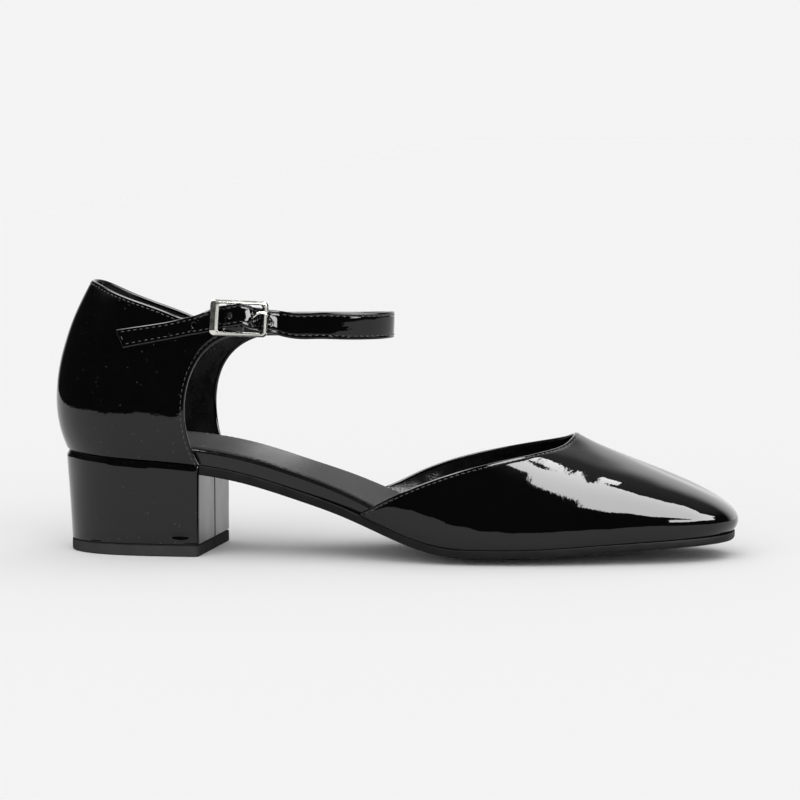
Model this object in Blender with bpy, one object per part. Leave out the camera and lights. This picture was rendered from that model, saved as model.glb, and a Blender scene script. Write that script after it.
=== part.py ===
"""Right shoe: a two-piece pump with a block heel, a soft square toe and a buckled ankle strap.

All sizes are millimetres. X runs from the heel back (0) to the toe, Y is negative on the lateral (outer) side
and positive on the medial (inner) side, Z is height above the floor. Each solid is turned into metres, with
the origin under the middle of the shoe, when its object is made.
"""

import math

import bmesh
import bpy
import numpy as np

# Driving sizes
LENGTH = 248.0
MIDDLE_Y = -0.95
GAP = 0.3
VAMP_WALL = 1.5
QUARTER_WALL = 1.5
LATERAL, MEDIAL = -1, 1
METRE = 0.001

# Facets: ribs along the feather line and points up each rib, sections along the sole and points across it
VAMP_RIBS, VAMP_POINTS, VAMP_CROWD = 69, 9, 0.6
QUARTER_RIBS, QUARTER_POINTS, QUARTER_CROWD = 51, 10, -0.6
PLATE_SECTIONS, SECTION_CROWD = 30, 1.5
SOLE_POINTS, INSOLE_POINTS = 7, 5
HEEL_POINTS = 16
HOLE_POINTS, CORNER_POINTS = 12, 5
RING_POINTS, PRONG_SECTIONS, PRONG_POINTS = 14, 30, 8
FOLD_POINTS = 13
SHARP_ANGLE = math.radians(40.0)

# Feather line in plan, where the upper meets the sole: heel back, lateral side, toe, medial side
OUTLINE = (
    # x, y
    (4.2, 0.6),
    (8.6, -12.6),
    (20.0, -22.2),
    (38.0, -26.8),
    (58.0, -27.4),
    (80.0, -27.4),
    (100.0, -29.0),
    (118.0, -33.0),
    (138.0, -38.0),
    (158.0, -40.4),
    (178.0, -39.0),
    (198.0, -35.0),
    (216.0, -30.0),
    (231.0, -23.6),
    (240.6, -15.4),
    (244.8, -7.0),
    (245.8, 2.0),
    (244.8, 11.0),
    (240.6, 18.8),
    (231.0, 26.0),
    (216.0, 31.8),
    (198.0, 36.4),
    (179.0, 38.8),
    (160.0, 37.0),
    (140.0, 31.4),
    (120.0, 25.4),
    (100.0, 21.4),
    (80.0, 21.0),
    (58.0, 24.0),
    (38.0, 25.4),
    (20.0, 22.2),
    (8.6, 13.6),
)
TOE_ROW = 16

# Underside of the sole along the foot: height of its middle, how far its edges rise, sole thickness,
# the y of its middle, and the half width at which the edges reach that rise
SOLE = (
    # x, middle, rise, thickness, centre, half width
    (0.0, 33.4, 0.0, 3.4, 0.0, 26.0),
    (30.0, 31.3, 0.0, 3.4, -0.6, 26.0),
    (58.0, 29.1, 0.1, 3.4, -1.4, 26.0),
    (75.0, 25.4, 0.6, 3.4, -2.2, 25.4),
    (92.0, 20.0, 1.1, 3.4, -2.8, 25.6),
    (108.0, 14.6, 1.5, 3.3, -3.4, 28.0),
    (122.0, 8.6, 2.0, 3.1, -3.6, 30.5),
    (134.0, 3.5, 2.5, 2.9, -3.2, 33.5),
    (146.0, 0.3, 2.9, 2.8, -2.4, 36.8),
    (160.0, -0.4, 3.1, 2.7, -1.4, 38.8),
    (176.0, -0.3, 3.2, 2.7, 0.0, 39.0),
    (192.0, 0.8, 3.0, 2.7, 0.6, 37.0),
    (212.0, 2.5, 2.4, 2.7, 1.2, 32.0),
    (232.0, 4.6, 1.5, 2.7, 1.8, 27.0),
    (248.0, 6.5, 1.0, 2.7, 2.0, 24.0),
)

# Vamp ribs from the feather line to the topline, each one a cubic curve. The feather point is at x on its
# side. Its lower handle leans out and rises. The upper handle is measured from the topline point.
VAMP = (
    # side, x, out, rise, topline x, y, z, handle x, y, z
    (LATERAL, 115.5, 0.0, 0.3, 115.8, -32.6, 17.5, 0.0, 0.0, -0.3),
    (LATERAL, 122.0, 0.5, 1.6, 121.2, -34.7, 20.5, 0.1, -0.5, -2.2),
    (LATERAL, 131.0, 1.3, 2.8, 128.4, -36.6, 24.3, 0.5, -1.3, -4.8),
    (LATERAL, 146.0, 1.7, 3.4, 141.6, -37.2, 29.9, 1.2, -3.2, -7.6),
    (LATERAL, 166.0, 2.0, 5.6, 157.4, -33.9, 34.7, 2.0, -6.4, -9.0),
    (LATERAL, 190.0, 2.9, 8.8, 172.8, -25.7, 37.8, 5.0, -10.0, -8.8),
    (LATERAL, 214.0, 4.7, 12.0, 182.4, -16.2, 39.5, 10.5, -10.8, -8.4),
    (LATERAL, 232.0, 6.5, 13.1, 186.8, -9.2, 41.1, 16.5, -8.6, -9.4),
    (LATERAL, 241.5, 8.6, 13.4, 188.6, -4.4, 42.8, 20.6, -4.2, -11.2),
    (LATERAL, 245.8, 11.2, 11.0, 189.2, 0.8, 43.9, 22.4, 0.4, -12.6),
    (MEDIAL, 241.5, 8.6, 13.6, 188.2, 5.8, 43.3, 20.6, 5.0, -11.6),
    (MEDIAL, 232.0, 6.5, 13.5, 185.8, 10.4, 42.0, 16.5, 8.8, -10.2),
    (MEDIAL, 214.0, 4.7, 12.2, 180.4, 16.4, 40.3, 10.5, 10.6, -9.2),
    (MEDIAL, 190.0, 2.9, 9.0, 169.2, 24.4, 37.7, 5.0, 9.8, -9.2),
    (MEDIAL, 168.0, 2.0, 5.8, 154.4, 31.2, 34.2, 2.2, 6.4, -9.2),
    (MEDIAL, 148.0, 1.7, 3.6, 140.2, 33.4, 30.2, 1.3, 3.4, -7.8),
    (MEDIAL, 131.0, 1.4, 3.2, 127.4, 31.2, 25.2, 0.6, 1.6, -5.2),
    (MEDIAL, 119.0, 0.7, 1.7, 117.9, 28.0, 20.9, 0.1, 0.6, -2.2),
    (MEDIAL, 112.0, 0.0, 0.3, 112.3, 25.0, 19.2, 0.0, 0.0, -0.3),
)

# Quarter ribs, from the lateral front edge round the heel to the medial front edge, as on the vamp. The lower
# handle also moves by a shift along x, which draws the concave front edges.
QUARTER = (
    # side, x, out, shift, rise, topline x, y, z, handle x, y, z
    (LATERAL, 57.4, 4.9, -9.3, 16.8, 70.0, -29.9, 79.4, -18.6, 2.7, -4.2),
    (LATERAL, 54.4, 5.1, -9.6, 15.4, 68.9, -29.7, 88.0, -17.5, 3.3, -11.2),
    (LATERAL, 49.0, 4.2, -6.3, 16.5, 60.0, -27.7, 87.0, -10.5, 1.0, -11.6),
    (LATERAL, 38.0, 4.4, -2.9, 17.7, 46.6, -24.8, 87.0, -4.4, -2.1, -13.6),
    (LATERAL, 21.0, 5.6, -0.6, 19.0, 27.4, -17.0, 93.0, -4.0, -5.2, -16.6),
    (LATERAL, 9.4, 7.4, 0.0, 18.6, 17.2, -7.6, 96.6, -8.2, -4.8, -19.0),
    (LATERAL, 4.2, 8.6, 0.0, 18.4, 13.6, 0.8, 97.6, -11.2, 0.0, -19.6),
    (MEDIAL, 9.4, 7.4, 0.0, 18.6, 17.2, 9.0, 96.6, -8.2, 4.8, -19.0),
    (MEDIAL, 21.0, 5.6, -0.4, 19.0, 27.4, 17.0, 91.2, -4.0, 5.2, -15.6),
    (MEDIAL, 38.0, 4.2, -2.0, 19.6, 46.6, 22.8, 83.3, -3.6, 2.8, -11.0),
    (MEDIAL, 49.0, 3.8, -4.0, 19.8, 62.0, 25.0, 82.0, -8.4, 0.6, -8.8),
    (MEDIAL, 55.4, 3.4, -7.4, 19.6, 79.6, 26.2, 82.4, -27.6, -1.2, -6.6),
    (MEDIAL, 58.4, 3.2, -7.2, 19.4, 80.2, 26.2, 76.8, -27.6, -1.2, -1.0),
)

# Insole board and sock: thickness along the foot
INSOLE = (
    # x, board, sock
    (0.0, 4.8, 0.9),
    (60.0, 5.1, 0.9),
    (92.0, 5.2, 0.9),
    (118.0, 4.6, 0.9),
    (150.0, 3.6, 0.9),
    (248.0, 3.1, 0.9),
)
BOARD_INSET = 2.2
SOCK_INSET = 2.9
SOCK_ROUND = 0.6
HEEL_START = 1.5
TOE_STOP = 0.01

# How far the outsole edge stands out from the feather line
SOLE_EDGE = (
    # x, margin
    (50.0, -1.2),
    (100.0, -0.9),
    (128.0, 0.2),
    (170.0, 0.4),
    (248.0, 0.6),
)

SOLE_BEVEL = 0.9

# Heel block and lift: plan of the lift, heel back first, lateral side then medial side
LIFT_OUTLINE = (
    # x, y
    (6.4, 0.4),
    (8.4, -10.6),
    (14.0, -18.2),
    (24.0, -23.8),
    (36.0, -26.2),
    (56.8, -27.0),
    (59.8, 24.4),
    (36.0, 24.9),
    (24.0, 23.4),
    (14.0, 18.9),
    (8.4, 11.0),
)
LIFT_CORNER = 5
LIFT_MIDDLE_X = 30.0
LIFT_START = 0.02
LIFT_BEVEL = 0.6
BREAST_X, BREAST_TURN = 58.36, 1.5
LIFT_HEIGHT = 4.2
HEEL_RIM = (
    # inset, drop below the seat
    (2.2, 0.0),
    (0.66, 0.66),
    (0.0, 2.2),
)

# Ankle strap, from its free end: on the lateral quarter, through the buckle, round the ankle and on the
# outside of the medial quarter. The rows in the buckle are measured in its own frame, from its middle.
STRAP_THICKNESS = 1.7
ANKLE_MIDDLE = (84.0, 0.6)
STRAP_CHAMFER = 0.4
STRAP_CORNER = 1.0
STRAP_TAIL = (
    # x, z, distance off the quarter
    (28.6, 77.2, 0.3),
    (34.5, 78.3, 0.35),
    (41.0, 79.5, 0.4),
    (48.0, 80.8, 0.8),
    (55.0, 82.1, 1.9),
)
STRAP_IN_BUCKLE = (
    # along, depth, height, lean of its top towards the ankle in degrees
    (-10.5, -3.1, -1.8, 3.0),
    (-7.4, -3.0, -0.4, 3.0),
    (-5.5, -1.1, 0.3, 3.0),
    (-3.9, 1.05, 0.6, 4.0),
    (-2.2, 2.4, 1.3, 5.0),
    (0.0, 2.8, 1.7, 9.0),
    (2.2, 2.5, 1.2, 11.0),
    (4.2, 1.05, 0.45, 9.0),
    (5.9, -0.9, 0.2, 7.0),
    (7.8, -2.6, -0.1, 5.0),
    (9.6, -2.65, -0.45, 5.0),
    (11.1, -2.4, -0.75, 7.0),
    (13.5, -3.0, -0.95, 9.0),
)
STRAP_FRONT = (
    # x, y, z, lean of its top towards the ankle in degrees
    (90.0, -22.6, 82.8, 6.0),
    (99.5, -20.2, 82.6, 5.0),
    (108.2, -16.9, 82.3, 1.2),
    (115.6, -12.2, 82.1, -1.5),
    (120.6, -6.4, 82.0, -1.5),
    (122.8, 0.6, 81.9, -1.0),
    (121.4, 8.4, 81.4, 0.0),
    (116.6, 15.4, 80.9, 1.0),
    (108.0, 21.2, 80.4, 2.0),
    (97.0, 25.2, 80.2, 3.0),
    (86.0, 27.2, 80.1, 1.0),
)
STRAP_END = (
    # x, z, distance off the quarter
    (76.0, 80.0, 0.3),
    (66.0, 79.4, 0.3),
    (57.0, 78.8, 0.3),
)
STRAP_WIDTH = (
    # length from the free end, width
    (0.0, 7.4),
    (33.0, 7.2),
    (40.0, 7.9),
    (56.0, 8.0),
    (66.0, 8.8),
    (72.0, 9.2),
    (88.0, 9.6),
    (112.0, 9.7),
    (190.0, 8.2),
)
SIDE_SHARE, TOP_SHARE = 0.7, 0.8
SEARCH_STEP = np.array((3.0, 0.05))
SECTION_STEP, BUCKLE_STEP = 3.4, 1.25
PRONG_ALONG = 4.7
HOLE_STEPS = (-24.3, -17.6, -9.2, 0.0, 8.0)
HOLE_RADIUS = 0.9
PRONG_HOLE = (2.2, 1.4)
HOLE_MARGIN = 0.45

# Buckle: a bevelled frame with its centre bar, set along the pull of the strap
BUCKLE_CENTRE = (72.6, -31.1, 85.7)
BUCKLE_TURN = math.radians(20.0)
BUCKLE_DROP = 0.06
BUCKLE_LENGTH, BUCKLE_HEIGHT = 20.8, 12.8
BUCKLE_PROFILE = (
    # inset at the rear, at the front, above and below, depth, corner radius
    (0.0, 0.0, 0.0, -1.2, 1.8),
    (0.0, 0.0, 0.0, -0.2, 1.8),
    (1.6, 0.8, 0.8, 0.6, 1.2),
    (2.8, 1.6, 1.4, 0.6, 0.8),
    (2.8, 2.2, 1.5, -1.2, 0.8),
)
BAR_HALF, BAR_REAR = 0.8, -2.2
BAR_DEPTH = -1.7

# Prong: a ring round the centre bar, then a tongue through the strap and on to the front bar
PRONG_RADIUS, PRONG_RING, PRONG_HEIGHT = 0.5, 1.65, 1.1
PRONG_OPEN = math.radians(50.0)
PRONG_PATH = (
    # along, depth, height
    (1.4, 0.0, 1.1),
    (2.8, 0.0, 1.1),
    (3.9, 0.25, 0.8),
    (5.0, 0.95, 0.95),
    (6.2, 1.5, 2.0),
    (7.8, 1.55, 2.4),
    (9.7, 1.3, 1.9),
)

# Tab: a strip folded round the centre bar, its legs on both sides of the lateral tongue of the quarter
TAB_THICKNESS, TAB_WIDTH, TAB_FOLD = 0.8, 9.4, 1.65
TAB_REACH = 4.0
TAB_TURN = math.radians(6.0)
SLOT_WIDTH, SLOT_REACH = 2.2, 2.35

COLOURS = {
    # node: base colour, roughness, metallic
    "vamp": ((0.006, 0.006, 0.007), 0.08, 0.0),
    "quarter": ((0.006, 0.006, 0.007), 0.08, 0.0),
    "insole_board": ((0.006, 0.006, 0.007), 0.1, 0.0),
    "insole_sock": ((0.02, 0.02, 0.021), 0.5, 0.0),
    "outsole": ((0.012, 0.012, 0.012), 0.5, 0.0),
    "heel_block": ((0.006, 0.006, 0.007), 0.1, 0.0),
    "heel_top_lift": ((0.012, 0.012, 0.012), 0.45, 0.0),
    "ankle_strap": ((0.006, 0.006, 0.007), 0.1, 0.0),
    "buckle_frame": ((0.62, 0.61, 0.58), 0.16, 1.0),
    "buckle_prong": ((0.62, 0.61, 0.58), 0.16, 1.0),
    "buckle_tab": ((0.006, 0.006, 0.007), 0.12, 0.0),
}


def unit(rows):
    """Rows scaled to length one."""
    return rows / np.linalg.norm(rows, axis=-1, keepdims=True)


def chord(points):
    """Length along a row of points."""
    return np.r_[0, np.cumsum(np.linalg.norm(np.diff(points, axis=0), axis=1))]


def spline(knots, values):
    """A natural cubic spline through the values (one row per knot); returns a function of the knot scale."""
    knots = np.asarray(knots, float)
    values = np.asarray(values, float)
    steps = np.diff(knots)
    count = len(knots)
    matrix = np.eye(count)
    right = np.zeros_like(values)
    for i in range(1, count - 1):
        matrix[i, i - 1 : i + 2] = steps[i - 1], 2 * (steps[i - 1] + steps[i]), steps[i]
        right[i] = 6 * ((values[i + 1] - values[i]) / steps[i] - (values[i] - values[i - 1]) / steps[i - 1])
    bend = np.linalg.solve(matrix, right)

    def at(place):
        place = np.asarray(place, float)
        i = np.clip(np.searchsorted(knots, place, side="right") - 1, 0, count - 2)
        h = steps[i]
        a = (knots[i + 1] - place) / h
        b = (place - knots[i]) / h
        if values.ndim > 1:
            a, b, h = a[..., None], b[..., None], h[..., None]
        curve = (a**3 - a) * bend[i] + (b**3 - b) * bend[i + 1]
        return a * values[i] + b * values[i + 1] + curve * h * h / 6

    return at


def table(rows):
    """A spline over the first column of a table."""
    rows = np.asarray(rows, float)
    return spline(rows[:, 0], rows[:, 1:])


def closed_curve(points):
    """A smooth closed curve through points, by its length along them; returns it with its knots."""
    points = np.asarray(points, float)
    wrap = 8
    around = np.vstack((points[-wrap:], points, points[: wrap + 1]))
    length = chord(around)
    length -= length[wrap]
    return spline(length, around), length[wrap : wrap + len(points) + 1]


feather, FEATHER_KNOTS = closed_curve(OUTLINE)
TOE_PLACE, ROUND_TRIP = FEATHER_KNOTS[TOE_ROW], FEATHER_KNOTS[-1]
sole_rows = table(SOLE)
insole_rows = table(INSOLE)
sole_edge = table(SOLE_EDGE)


def place_of(side, x):
    """Where the feather line reaches x on one side, as a length along it from the heel back."""
    near, far = (0.0, TOE_PLACE) if side == LATERAL else (ROUND_TRIP, TOE_PLACE)
    for _ in range(50):
        middle = (near + far) / 2
        if feather(middle)[0] < x:
            near = middle
        else:
            far = middle
    return (near + far) / 2


def outward(place):
    """Plan direction that points out of the shoe at a place on the feather line."""
    step = 0.2
    ahead = feather(np.asarray(place) + step) - feather(np.asarray(place) - step)
    ahead = unit(ahead)
    return np.stack((ahead[..., 1], -ahead[..., 0]), axis=-1)


def sole_under(x, y):
    """Height of the sole's curved underside, before its tread is flattened on the floor."""
    middle, rise, _, centre, half = np.moveaxis(sole_rows(x), -1, 0)
    return middle + rise * ((y - centre) / half) ** 2


def seat(x, y):
    """Height of the surface that carries upper and insole: the top of the outsole and of the heel."""
    return sole_under(x, y) + sole_rows(x)[..., 2]


def insole_top(x, y, layers):
    """Top of the insole board (1 layer) or of the sock on it (2 layers)."""
    return seat(x, y) + GAP * layers + insole_rows(x)[..., :layers].sum(axis=-1)


def rib_surface(places, low, high, tops):
    """A surface of cubic ribs over the feather line, as a function of place and share of the height."""
    low, high, tops = (spline(places, rows) for rows in (low, high, tops))

    def at(place, share):
        place, share = np.broadcast_arrays(np.asarray(place, float), np.asarray(share, float))
        foot = feather(place)
        foot = np.dstack((foot, seat(foot[..., 0], foot[..., 1]) + GAP))
        out, shift, rise = np.moveaxis(low(place), -1, 0)
        first = foot + np.dstack((outward(place) * out[..., None], rise))
        first[..., 0] += shift
        last = tops(place)
        second = last + high(place)
        t = share[..., None]
        return (1 - t) ** 3 * foot + 3 * t * (1 - t) ** 2 * first + 3 * t**2 * (1 - t) * second + t**3 * last

    return at


def vamp_surface():
    """The vamp's outer surface, with the places where its lateral and medial wings end."""
    rows = np.asarray(VAMP, float)
    places = [place_of(side, x) for side, x in rows[:, :2]]
    low = np.column_stack((rows[:, 2], np.zeros(len(rows)), rows[:, 3]))
    return rib_surface(places, low, rows[:, 7:10], rows[:, 4:7]), places[0], places[-1]


def quarter_surface():
    """The quarter's outer surface, with the places of its medial and lateral front edges."""
    rows = np.asarray(QUARTER[::-1], float)
    places = [place_of(side, x) - (ROUND_TRIP if side == MEDIAL else 0.0) for side, x in rows[:, :2]]
    return rib_surface(places, rows[:, 2:5], rows[:, 8:11], rows[:, 5:8]), places[0], places[-1]


def normals(surface, place, share):
    """Outward unit normals of a rib surface."""
    step, rise = 0.15, 0.01
    along = surface(place + step, share) - surface(place - step, share)
    up = surface(place, np.minimum(share + rise, 1)) - surface(place, np.maximum(share - rise, 0))
    return unit(np.cross(along, up))


def graded(start, end, count, crowd):
    """Places from start to end, closer together in the middle (crowd above 0) or at both ends (below 0)."""
    share = np.linspace(0, 1, count)
    return start + (end - start) * (share + crowd * np.sin(2 * np.pi * share) / (2 * np.pi))


def wall_loops(surface, places, thickness, heights):
    """Loops of a wall of even thickness under a rib surface: up its outside and down its inside."""
    place, share = np.meshgrid(places, np.linspace(0, 1, heights), indexing="ij")
    outside = surface(place, share)
    inside = outside - normals(surface, place, share) * thickness
    inside[:, 0, 2] = seat(inside[:, 0, 0], inside[:, 0, 1]) + GAP
    return np.concatenate((outside, inside[:, ::-1]), axis=1)


def loft(loops, closed=False):
    """Points and faces of a solid through closed loops, which run out on one side and back on the other.

    A closed loft joins its last loop to the first one and has no ends."""
    count, size = loops.shape[:2]
    faces = []
    for i in range(count if closed else count - 1):
        near, far = i * size, (i + 1) % count * size
        for j in range(size):
            k = (j + 1) % size
            faces.append((near + j, far + j, far + k, near + k))
    if not closed:
        last = (count - 1) * size
        for j in range(size // 2 - 1):
            cap = (j, j + 1, size - 2 - j, size - 1 - j)
            faces.append(cap)
            faces.append(tuple(last + v for v in cap[::-1]))
    return loops.reshape(-1, 3), faces


def edge_points(places, margin):
    """Points at a margin outside the feather line, in plan."""
    point = feather(places)
    return point + outward(places) * margin(point[..., 0])[..., None]


def plate_loops(start, upper, lower):
    """Loops of a plate along the foot, one for each section between the two start places and the toe.

    upper and lower list the points of a loop, from the lateral side across and back, as rows of
    (margin of the edge, share of the way across, height)."""
    shares = 1 - (1 - np.linspace(0, 1, PLATE_SECTIONS)) ** SECTION_CROWD * (1 - TOE_STOP) - TOE_STOP
    lateral, medial = (first + (TOE_PLACE - first) * shares for first in start)
    points = []
    for margin, across, height in (*upper, *lower):
        near, far = edge_points(lateral, margin), edge_points(medial, margin)
        point = near + (far - near) * across
        points.append(np.column_stack((point, height(point[:, 0], point[:, 1]))))
    return np.stack(points, axis=1)


def add_solid(name, points, faces):
    """A mesh object of the node's own material, from points in millimetres."""
    mesh = bpy.data.meshes.new(name)
    placed = (np.asarray(points, float) - (LENGTH / 2, MIDDLE_Y, 0.0)) * METRE
    mesh.from_pydata(placed.tolist(), [], faces)
    mesh.validate()
    made = bmesh.new()
    made.from_mesh(mesh)
    bmesh.ops.triangulate(made, faces=made.faces)
    bmesh.ops.recalc_face_normals(made, faces=made.faces)
    made.to_mesh(mesh)
    made.free()
    mesh.shade_smooth()
    mesh.set_sharp_from_angle(angle=SHARP_ANGLE)
    bpy.context.scene.collection.objects.link(bpy.data.objects.new(name, mesh))
    mesh.materials.append(finish(name))


def finish(name):
    """The node's material."""
    colour, roughness, metallic = COLOURS[name]
    material = bpy.data.materials.new(name)
    material.use_nodes = True
    shader = material.node_tree.nodes["Principled BSDF"]
    shader.inputs["Base Color"].default_value = (*colour, 1.0)
    shader.inputs["Roughness"].default_value = roughness
    shader.inputs["Metallic"].default_value = metallic
    return material


def build_upper():
    surface, start, end = vamp_surface()
    places = graded(start, end, VAMP_RIBS, VAMP_CROWD)
    add_solid("vamp", *loft(wall_loops(surface, places, VAMP_WALL, VAMP_POINTS)))
    surface, start, end = quarter_surface()
    places = graded(start, end, QUARTER_RIBS, QUARTER_CROWD)
    add_solid("quarter", *loft(wall_loops(surface, places, QUARTER_WALL, QUARTER_POINTS)))


def breast_place(side, ahead=0.0):
    """Place on the feather line ahead of the heel's front face, which is turned a little."""
    return place_of(side, BREAST_X + BREAST_TURN * side + ahead)


def build_outsole():
    start = (breast_place(LATERAL, GAP), breast_place(MEDIAL, GAP))

    def edge(x):
        return sole_edge(x)[..., 0]

    def inner_edge(x):
        return edge(x) - SOLE_BEVEL

    def tread(x, y):
        return np.maximum(sole_under(x, y), 0.0)

    def low_edge(x, y):
        return sole_under(x, y) + SOLE_BEVEL

    across = np.linspace(0, 1, SOLE_POINTS)
    upper = [(edge, 0.0, low_edge), *((edge, v, seat) for v in across), (edge, 1.0, low_edge)]
    lower = [(inner_edge, v, tread) for v in np.linspace(1, 0, len(upper))]
    add_solid("outsole", *loft(plate_loops(start, upper, lower)))


def build_insole():
    start = (HEEL_START, ROUND_TRIP - HEEL_START)
    across = np.linspace(0, 1, INSOLE_POINTS)

    def inset(depth):
        return lambda x: np.full_like(x, -depth)

    def above(layers, drop=0.0):
        return lambda x, y: insole_top(x, y, layers) - drop

    def under(x, y):
        return seat(x, y) + GAP

    upper = [(inset(BOARD_INSET), v, above(1)) for v in across]
    lower = [(inset(BOARD_INSET), v, under) for v in across[::-1]]
    add_solid("insole_board", *loft(plate_loops(start, upper, lower)))

    rim = inset(SOCK_INSET)
    upper = [
        (rim, 0.0, above(2, SOCK_ROUND)),
        *((inset(SOCK_INSET + SOCK_ROUND), v, above(2)) for v in across),
        (rim, 1.0, above(2, SOCK_ROUND)),
    ]
    lower = [(rim, v, above(1, -GAP)) for v in np.linspace(1, 0, len(upper))]
    add_solid("insole_sock", *loft(plate_loops(start, upper, lower)))


def heel_ring(inset):
    """Plan of the heel at its seat: from the back along the lateral side, the breast and the medial side."""
    lateral = np.linspace(HEEL_START, breast_place(LATERAL), HEEL_POINTS)
    medial = np.linspace(breast_place(MEDIAL), ROUND_TRIP - HEEL_START, HEEL_POINTS)

    def margin(x):
        return np.full_like(x, -inset)

    return np.vstack((edge_points(lateral, margin), edge_points(medial, margin)))


def lift_ring(inset):
    """Plan of the lift, with as many points as heel_ring."""
    rows = np.asarray(LIFT_OUTLINE, float)
    rows = rows - unit(rows - (LIFT_MIDDLE_X, MIDDLE_Y)) * inset
    lateral = rows[: LIFT_CORNER + 1]
    medial = np.vstack((rows[LIFT_CORNER + 1 :], rows[:1]))
    ring = []
    for side, ends in ((lateral, (LIFT_START, 1.0)), (medial, (0.0, 1.0 - LIFT_START))):
        length = chord(side)
        ring.append(spline(length, side)(np.linspace(*ends, HEEL_POINTS) * length[-1]))
    return np.vstack(ring)


def build_heel():
    rings = []
    for inset, drop in HEEL_RIM:
        plan = heel_ring(inset)
        rings.append(np.column_stack((plan, seat(plan[:, 0], plan[:, 1]) - drop)))
    plan = lift_ring(0.0)
    rings.append(np.column_stack((plan, np.full(len(plan), LIFT_HEIGHT + GAP))))
    add_solid("heel_block", *loft(np.stack(rings)))
    rings = []
    for inset, height in ((0.0, LIFT_HEIGHT), (0.0, LIFT_BEVEL), (LIFT_BEVEL, 0.0)):
        plan = lift_ring(inset)
        rings.append(np.column_stack((plan, np.full(len(plan), height))))
    add_solid("heel_top_lift", *loft(np.stack(rings)))


def slab(outer, inner, solid):
    """Points and faces of a plate between two grids of points, with holes in the cells that are not solid."""
    rows, columns = outer.shape[:2]
    number = np.arange(rows * columns).reshape(rows, columns)
    under = rows * columns
    faces = []
    for i, j in np.argwhere(solid):
        cell = [number[i, j], number[i + 1, j], number[i + 1, j + 1], number[i, j + 1]]
        faces.append(tuple(cell))
        faces.append(tuple(v + under for v in cell[::-1]))
        for side, (di, dj) in enumerate(((0, -1), (1, 0), (0, 1), (-1, 0))):
            beside = i + di, j + dj
            inside = 0 <= beside[0] < rows - 1 and 0 <= beside[1] < columns - 1
            if not (inside and solid[beside]):
                near, far = cell[side], cell[(side + 1) % 4]
                faces.append((far, near, near + under, far + under))
    points = np.concatenate((outer, inner)).reshape(-1, 3)
    return points, [tuple(int(v) for v in face) for face in faces]


def buckle_axes():
    """Directions of the buckle: along it towards the toe, out of the shoe, and up its centre bar."""
    along = unit(np.array((math.cos(BUCKLE_TURN), math.sin(BUCKLE_TURN), -BUCKLE_DROP)))
    out = np.array((math.sin(BUCKLE_TURN), -math.cos(BUCKLE_TURN), 0.0))
    return np.stack((along, out, np.cross(out, along)))


def in_buckle(points):
    """Points of the shoe from points in the buckle's own frame: along, depth, height."""
    return np.asarray(points, float) @ buckle_axes() + BUCKLE_CENTRE


def on_surface(surface, guess, x, z):
    """The point of a rib surface at x and z with its outward normal, from a guess of place and share."""
    where = np.array(guess, float)
    step = 0.01
    for _ in range(30):
        grid = where + np.array(((0.0, 0.0), (step, 0.0), (0.0, step)))
        points = surface(grid[None, :, 0], grid[None, :, 1])[0][:, [0, 2]]
        slope = (points[1:] - points[0]).T / step
        move = np.linalg.solve(slope, points[0] - (x, z))
        where -= np.clip(move, -SEARCH_STEP, SEARCH_STEP)
    place, share = where.reshape(2, 1, 1)
    return surface(place, share)[0, 0], normals(surface, place, share)[0, 0]


def strap_line():
    """The strap's middle line with its upward direction, over the length from the free end, and its knots."""
    surface, medial, lateral = quarter_surface()
    upright = np.array((0.0, 0.0, 1.0))
    rows = []

    def lay(front, table_rows):
        for x, z, off in table_rows:
            point, normal = on_surface(surface, (front * SIDE_SHARE, TOP_SHARE), x, z)
            rows.append(np.r_[point + normal * (off + STRAP_THICKNESS / 2), upright - normal * normal[2]])

    lay(lateral, STRAP_TAIL)
    _, out, up = buckle_axes()
    for *point, lean in STRAP_IN_BUCKLE:
        rows.append(np.r_[in_buckle(point), up - out * math.tan(math.radians(lean))])
    for *point, lean in STRAP_FRONT:
        inward = unit(np.subtract(ANKLE_MIDDLE, point[:2]))
        rows.append(np.r_[point, inward * math.tan(math.radians(lean)), 1.0])
    lay(medial, STRAP_END)
    knots = chord(np.array(rows)[:, :3])
    return spline(knots, rows), knots


def strap_frame(line, length):
    """Middle of the strap, and its forward, outward and upward directions, at a length along it."""
    step = 0.05
    row = line(length)
    ahead = unit(line(length + step)[..., :3] - line(length - step)[..., :3])
    out = unit(np.cross(ahead, row[..., 3:]))
    return row[..., :3], ahead, out, np.cross(out, ahead)


def circle(sides):
    """Cosines and sines once round."""
    turn = (np.arange(sides) + 0.5) * 2 * math.pi / sides
    return np.cos(turn)[:, None], np.sin(turn)[:, None]


def strap_holes(line, first, last):
    """Where the holes are along the strap, with their half length and half height."""
    trial = np.linspace(first, last, 200)
    along = (line(trial)[:, :3] - BUCKLE_CENTRE) @ buckle_axes()[0]
    prong = np.interp(PRONG_ALONG, along, trial)
    return [(prong + step, *(PRONG_HOLE if step == 0 else (HOLE_RADIUS, HOLE_RADIUS))) for step in HOLE_STEPS]


def strap_sections(first, last, end, holes):
    """Lengths of the strap's sections: closer in the buckle, with one section on each side of each hole."""
    lengths = [0.0, end]
    for near, far, step in (
        (STRAP_CORNER, first, SECTION_STEP),
        (first, last, BUCKLE_STEP),
        (last, end - STRAP_CORNER, SECTION_STEP),
    ):
        lengths.extend(np.linspace(near, far, int((far - near) / step) + 1))
    lengths = np.unique(lengths)
    for middle, long, _ in holes:
        room = long + HOLE_MARGIN
        lengths = lengths[np.abs(lengths - middle) > room + HOLE_MARGIN]
        lengths = np.sort(np.r_[lengths, middle - room, middle + room])
    return lengths


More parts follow.
